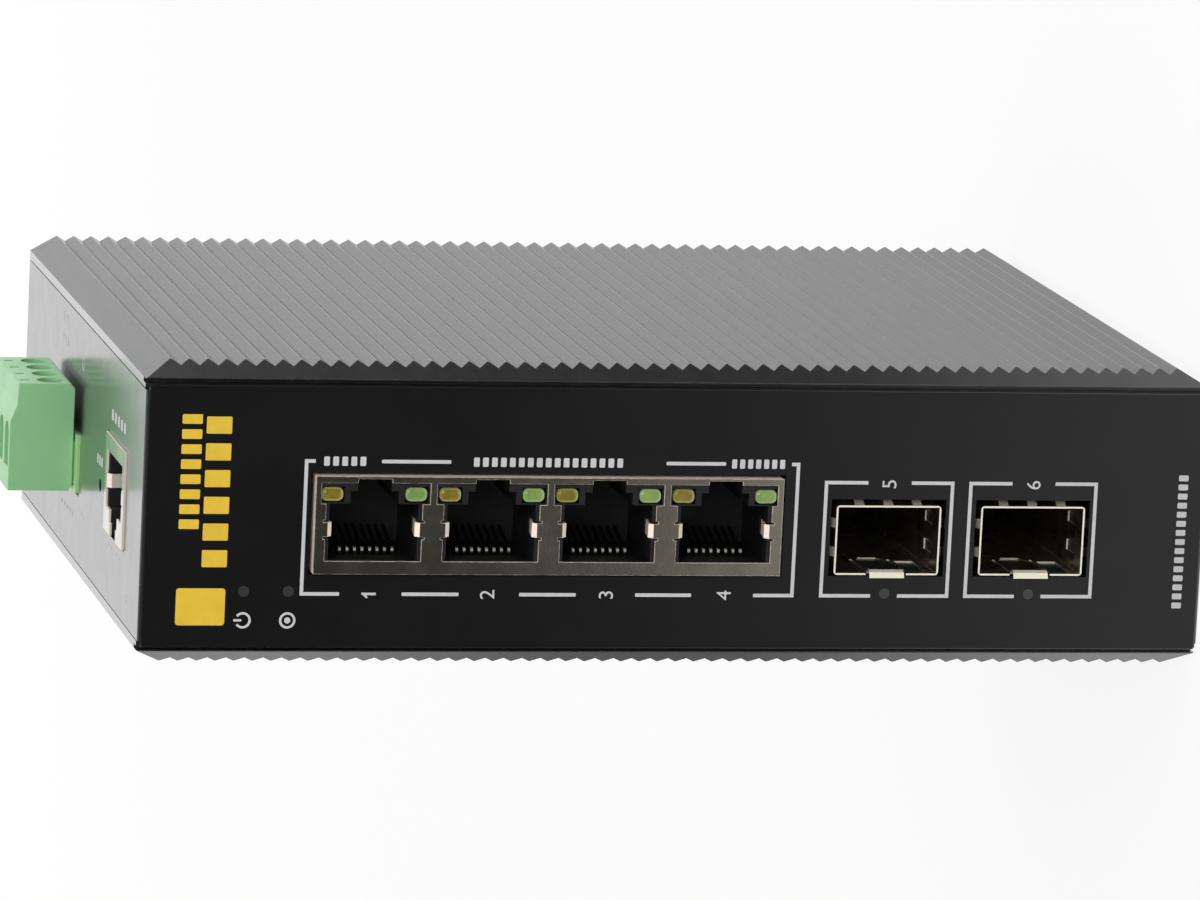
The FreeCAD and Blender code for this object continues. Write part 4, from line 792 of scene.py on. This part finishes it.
def floor_gloss(tree, place):
    """How bright the floor is in the switch's gloss, place by place."""
    split = put(tree, "SeparateXYZ", [("Vector", place)]).outputs
    pool = ramp(tree, split["Y"], POOL_FROM, POOL_TO, low=GLOSS_DARK, kind="SMOOTHSTEP")
    far = ramp(tree, split["Y"], FAR_FROM, FAR_TO, kind="SMOOTHSTEP")
    return combine(tree, "MULTIPLY", pool, between(tree, far, side_fade(tree, split["X"]), 1.0))


def floor_white(tree, place, path):
    """The share of the floor that is plain white: in gloss all of it, to the camera most."""
    away = put(tree, "VectorMath", [(0, place)], operation="LENGTH")
    plain = ramp(tree, away.outputs["Value"], GLOW_FROM, GLOW_TO, low=NEAR_GLOW,
                 kind="SMOOTHSTEP")
    seen = combine(tree, "MULTIPLY", path["Is Camera Ray"], plain)
    return combine(tree, "MAXIMUM", seen, path["Is Glossy Ray"])


def floor_material():
    """Cloth that keeps the switch's shadow and lights it from below."""
    material = bpy.data.materials.new("pale_floor")
    material.use_nodes = True
    tree = material.node_tree
    tree.nodes.clear()
    out = tree.nodes.new("ShaderNodeOutputMaterial")
    place = put(tree, "TexCoord").outputs["Object"]
    path = put(tree, "LightPath").outputs
    cloth = put(tree, "BsdfDiffuse", [("Color", (CLOTH, CLOTH, CLOTH, 1.0))])
    level = between(tree, path["Is Glossy Ray"], 1.0, floor_gloss(tree, place))
    white = put(tree, "Emission", [("Color", (1, 1, 1, 1)), ("Strength", level)])
    mix = put(tree, "MixShader", [
        ("Fac", floor_white(tree, place, path)), (1, cloth.outputs[0]), (2, white.outputs[0])])
    tree.links.new(mix.outputs[0], out.inputs["Surface"])
    return material


def stage_floor():
    mesh = bpy.data.meshes.new("floor")
    low = cad_box[0][2]
    mesh.from_pydata([
        (-FLOOR_REACH, -FLOOR_REACH, low), (FLOOR_REACH, -FLOOR_REACH, low),
        (FLOOR_REACH, FLOOR_REACH, low), (-FLOOR_REACH, FLOOR_REACH, low)], [], [(0, 1, 2, 3)])
    floor = bpy.data.objects.new("floor", mesh)
    bpy.context.scene.collection.objects.link(floor)
    mesh.materials.append(floor_material())


def stage_world():
    """White to the camera, lighter behind the switch than in front of it in its gloss."""
    world = bpy.data.worlds.new("studio")
    bpy.context.scene.world = world
    world.use_nodes = True
    tree = world.node_tree
    tree.nodes.clear()
    out = tree.nodes.new("ShaderNodeOutputWorld")
    way = put(tree, "TexCoord").outputs["Generated"]
    split = put(tree, "SeparateXYZ", [("Vector", way)]).outputs
    behind = ramp(tree, split["Y"], ROOM_FROM, ROOM_TO, low=GLOSS_DARK, kind="SMOOTHSTEP")
    path = put(tree, "LightPath").outputs
    lit = between(tree, path["Is Diffuse Ray"], behind, ROOM_LIGHT)
    level = between(tree, path["Is Camera Ray"], lit, 1.0)
    light = put(tree, "Background", [("Color", (1, 1, 1, 1)), ("Strength", level)])
    tree.links.new(light.outputs[0], out.inputs["Surface"])


STUDIO_MIDDLE = Vector((0, -0.05, 0))


def softbox(name, place, size, power):
    data = bpy.data.lights.new(name, "AREA")
    data.shape = "RECTANGLE"
    data.size, data.size_y = size
    data.energy = power
    lamp = bpy.data.objects.new(name, data)
    bpy.context.scene.collection.objects.link(lamp)
    lamp.location = place
    lamp.rotation_euler = (STUDIO_MIDDLE - Vector(place)).to_track_quat("-Z", "Y").to_euler()
    lamp.visible_camera = False


EYE = spot(199.906, -1023.329, 316.725)
AIM = spot(9.363, 0.0, 84.357)
ROLL = -89.5642             # degrees: the switch lies on its side


def camera():
    data = bpy.data.cameras.new("camera")
    data.sensor_width = 36.0
    data.lens = 240.66
    data.clip_end = 20.0
    eye = bpy.data.objects.new("camera", data)
    bpy.context.scene.collection.objects.link(eye)
    turn = (AIM - EYE).to_track_quat("-Z", "Y").to_matrix().to_4x4()
    eye.matrix_world = (Matrix.Translation(EYE) @ turn
                        @ Matrix.Rotation(math.radians(ROLL), 4, "Z"))
    bpy.context.scene.camera = eye


stage_floor()
stage_world()
softbox("softbox_above", (0.3, -0.35, 1.15), (0.9, 0.9), 4.0)
softbox("softbox_side", (1.0, 0.45, 0.5), (0.8, 0.9), 4.0)
softbox("softbox_front", (0.4, -1.25, 0.6), (0.8, 0.8), 6.0)
camera()

scene = bpy.context.scene
scene.view_settings.view_transform = "Standard"
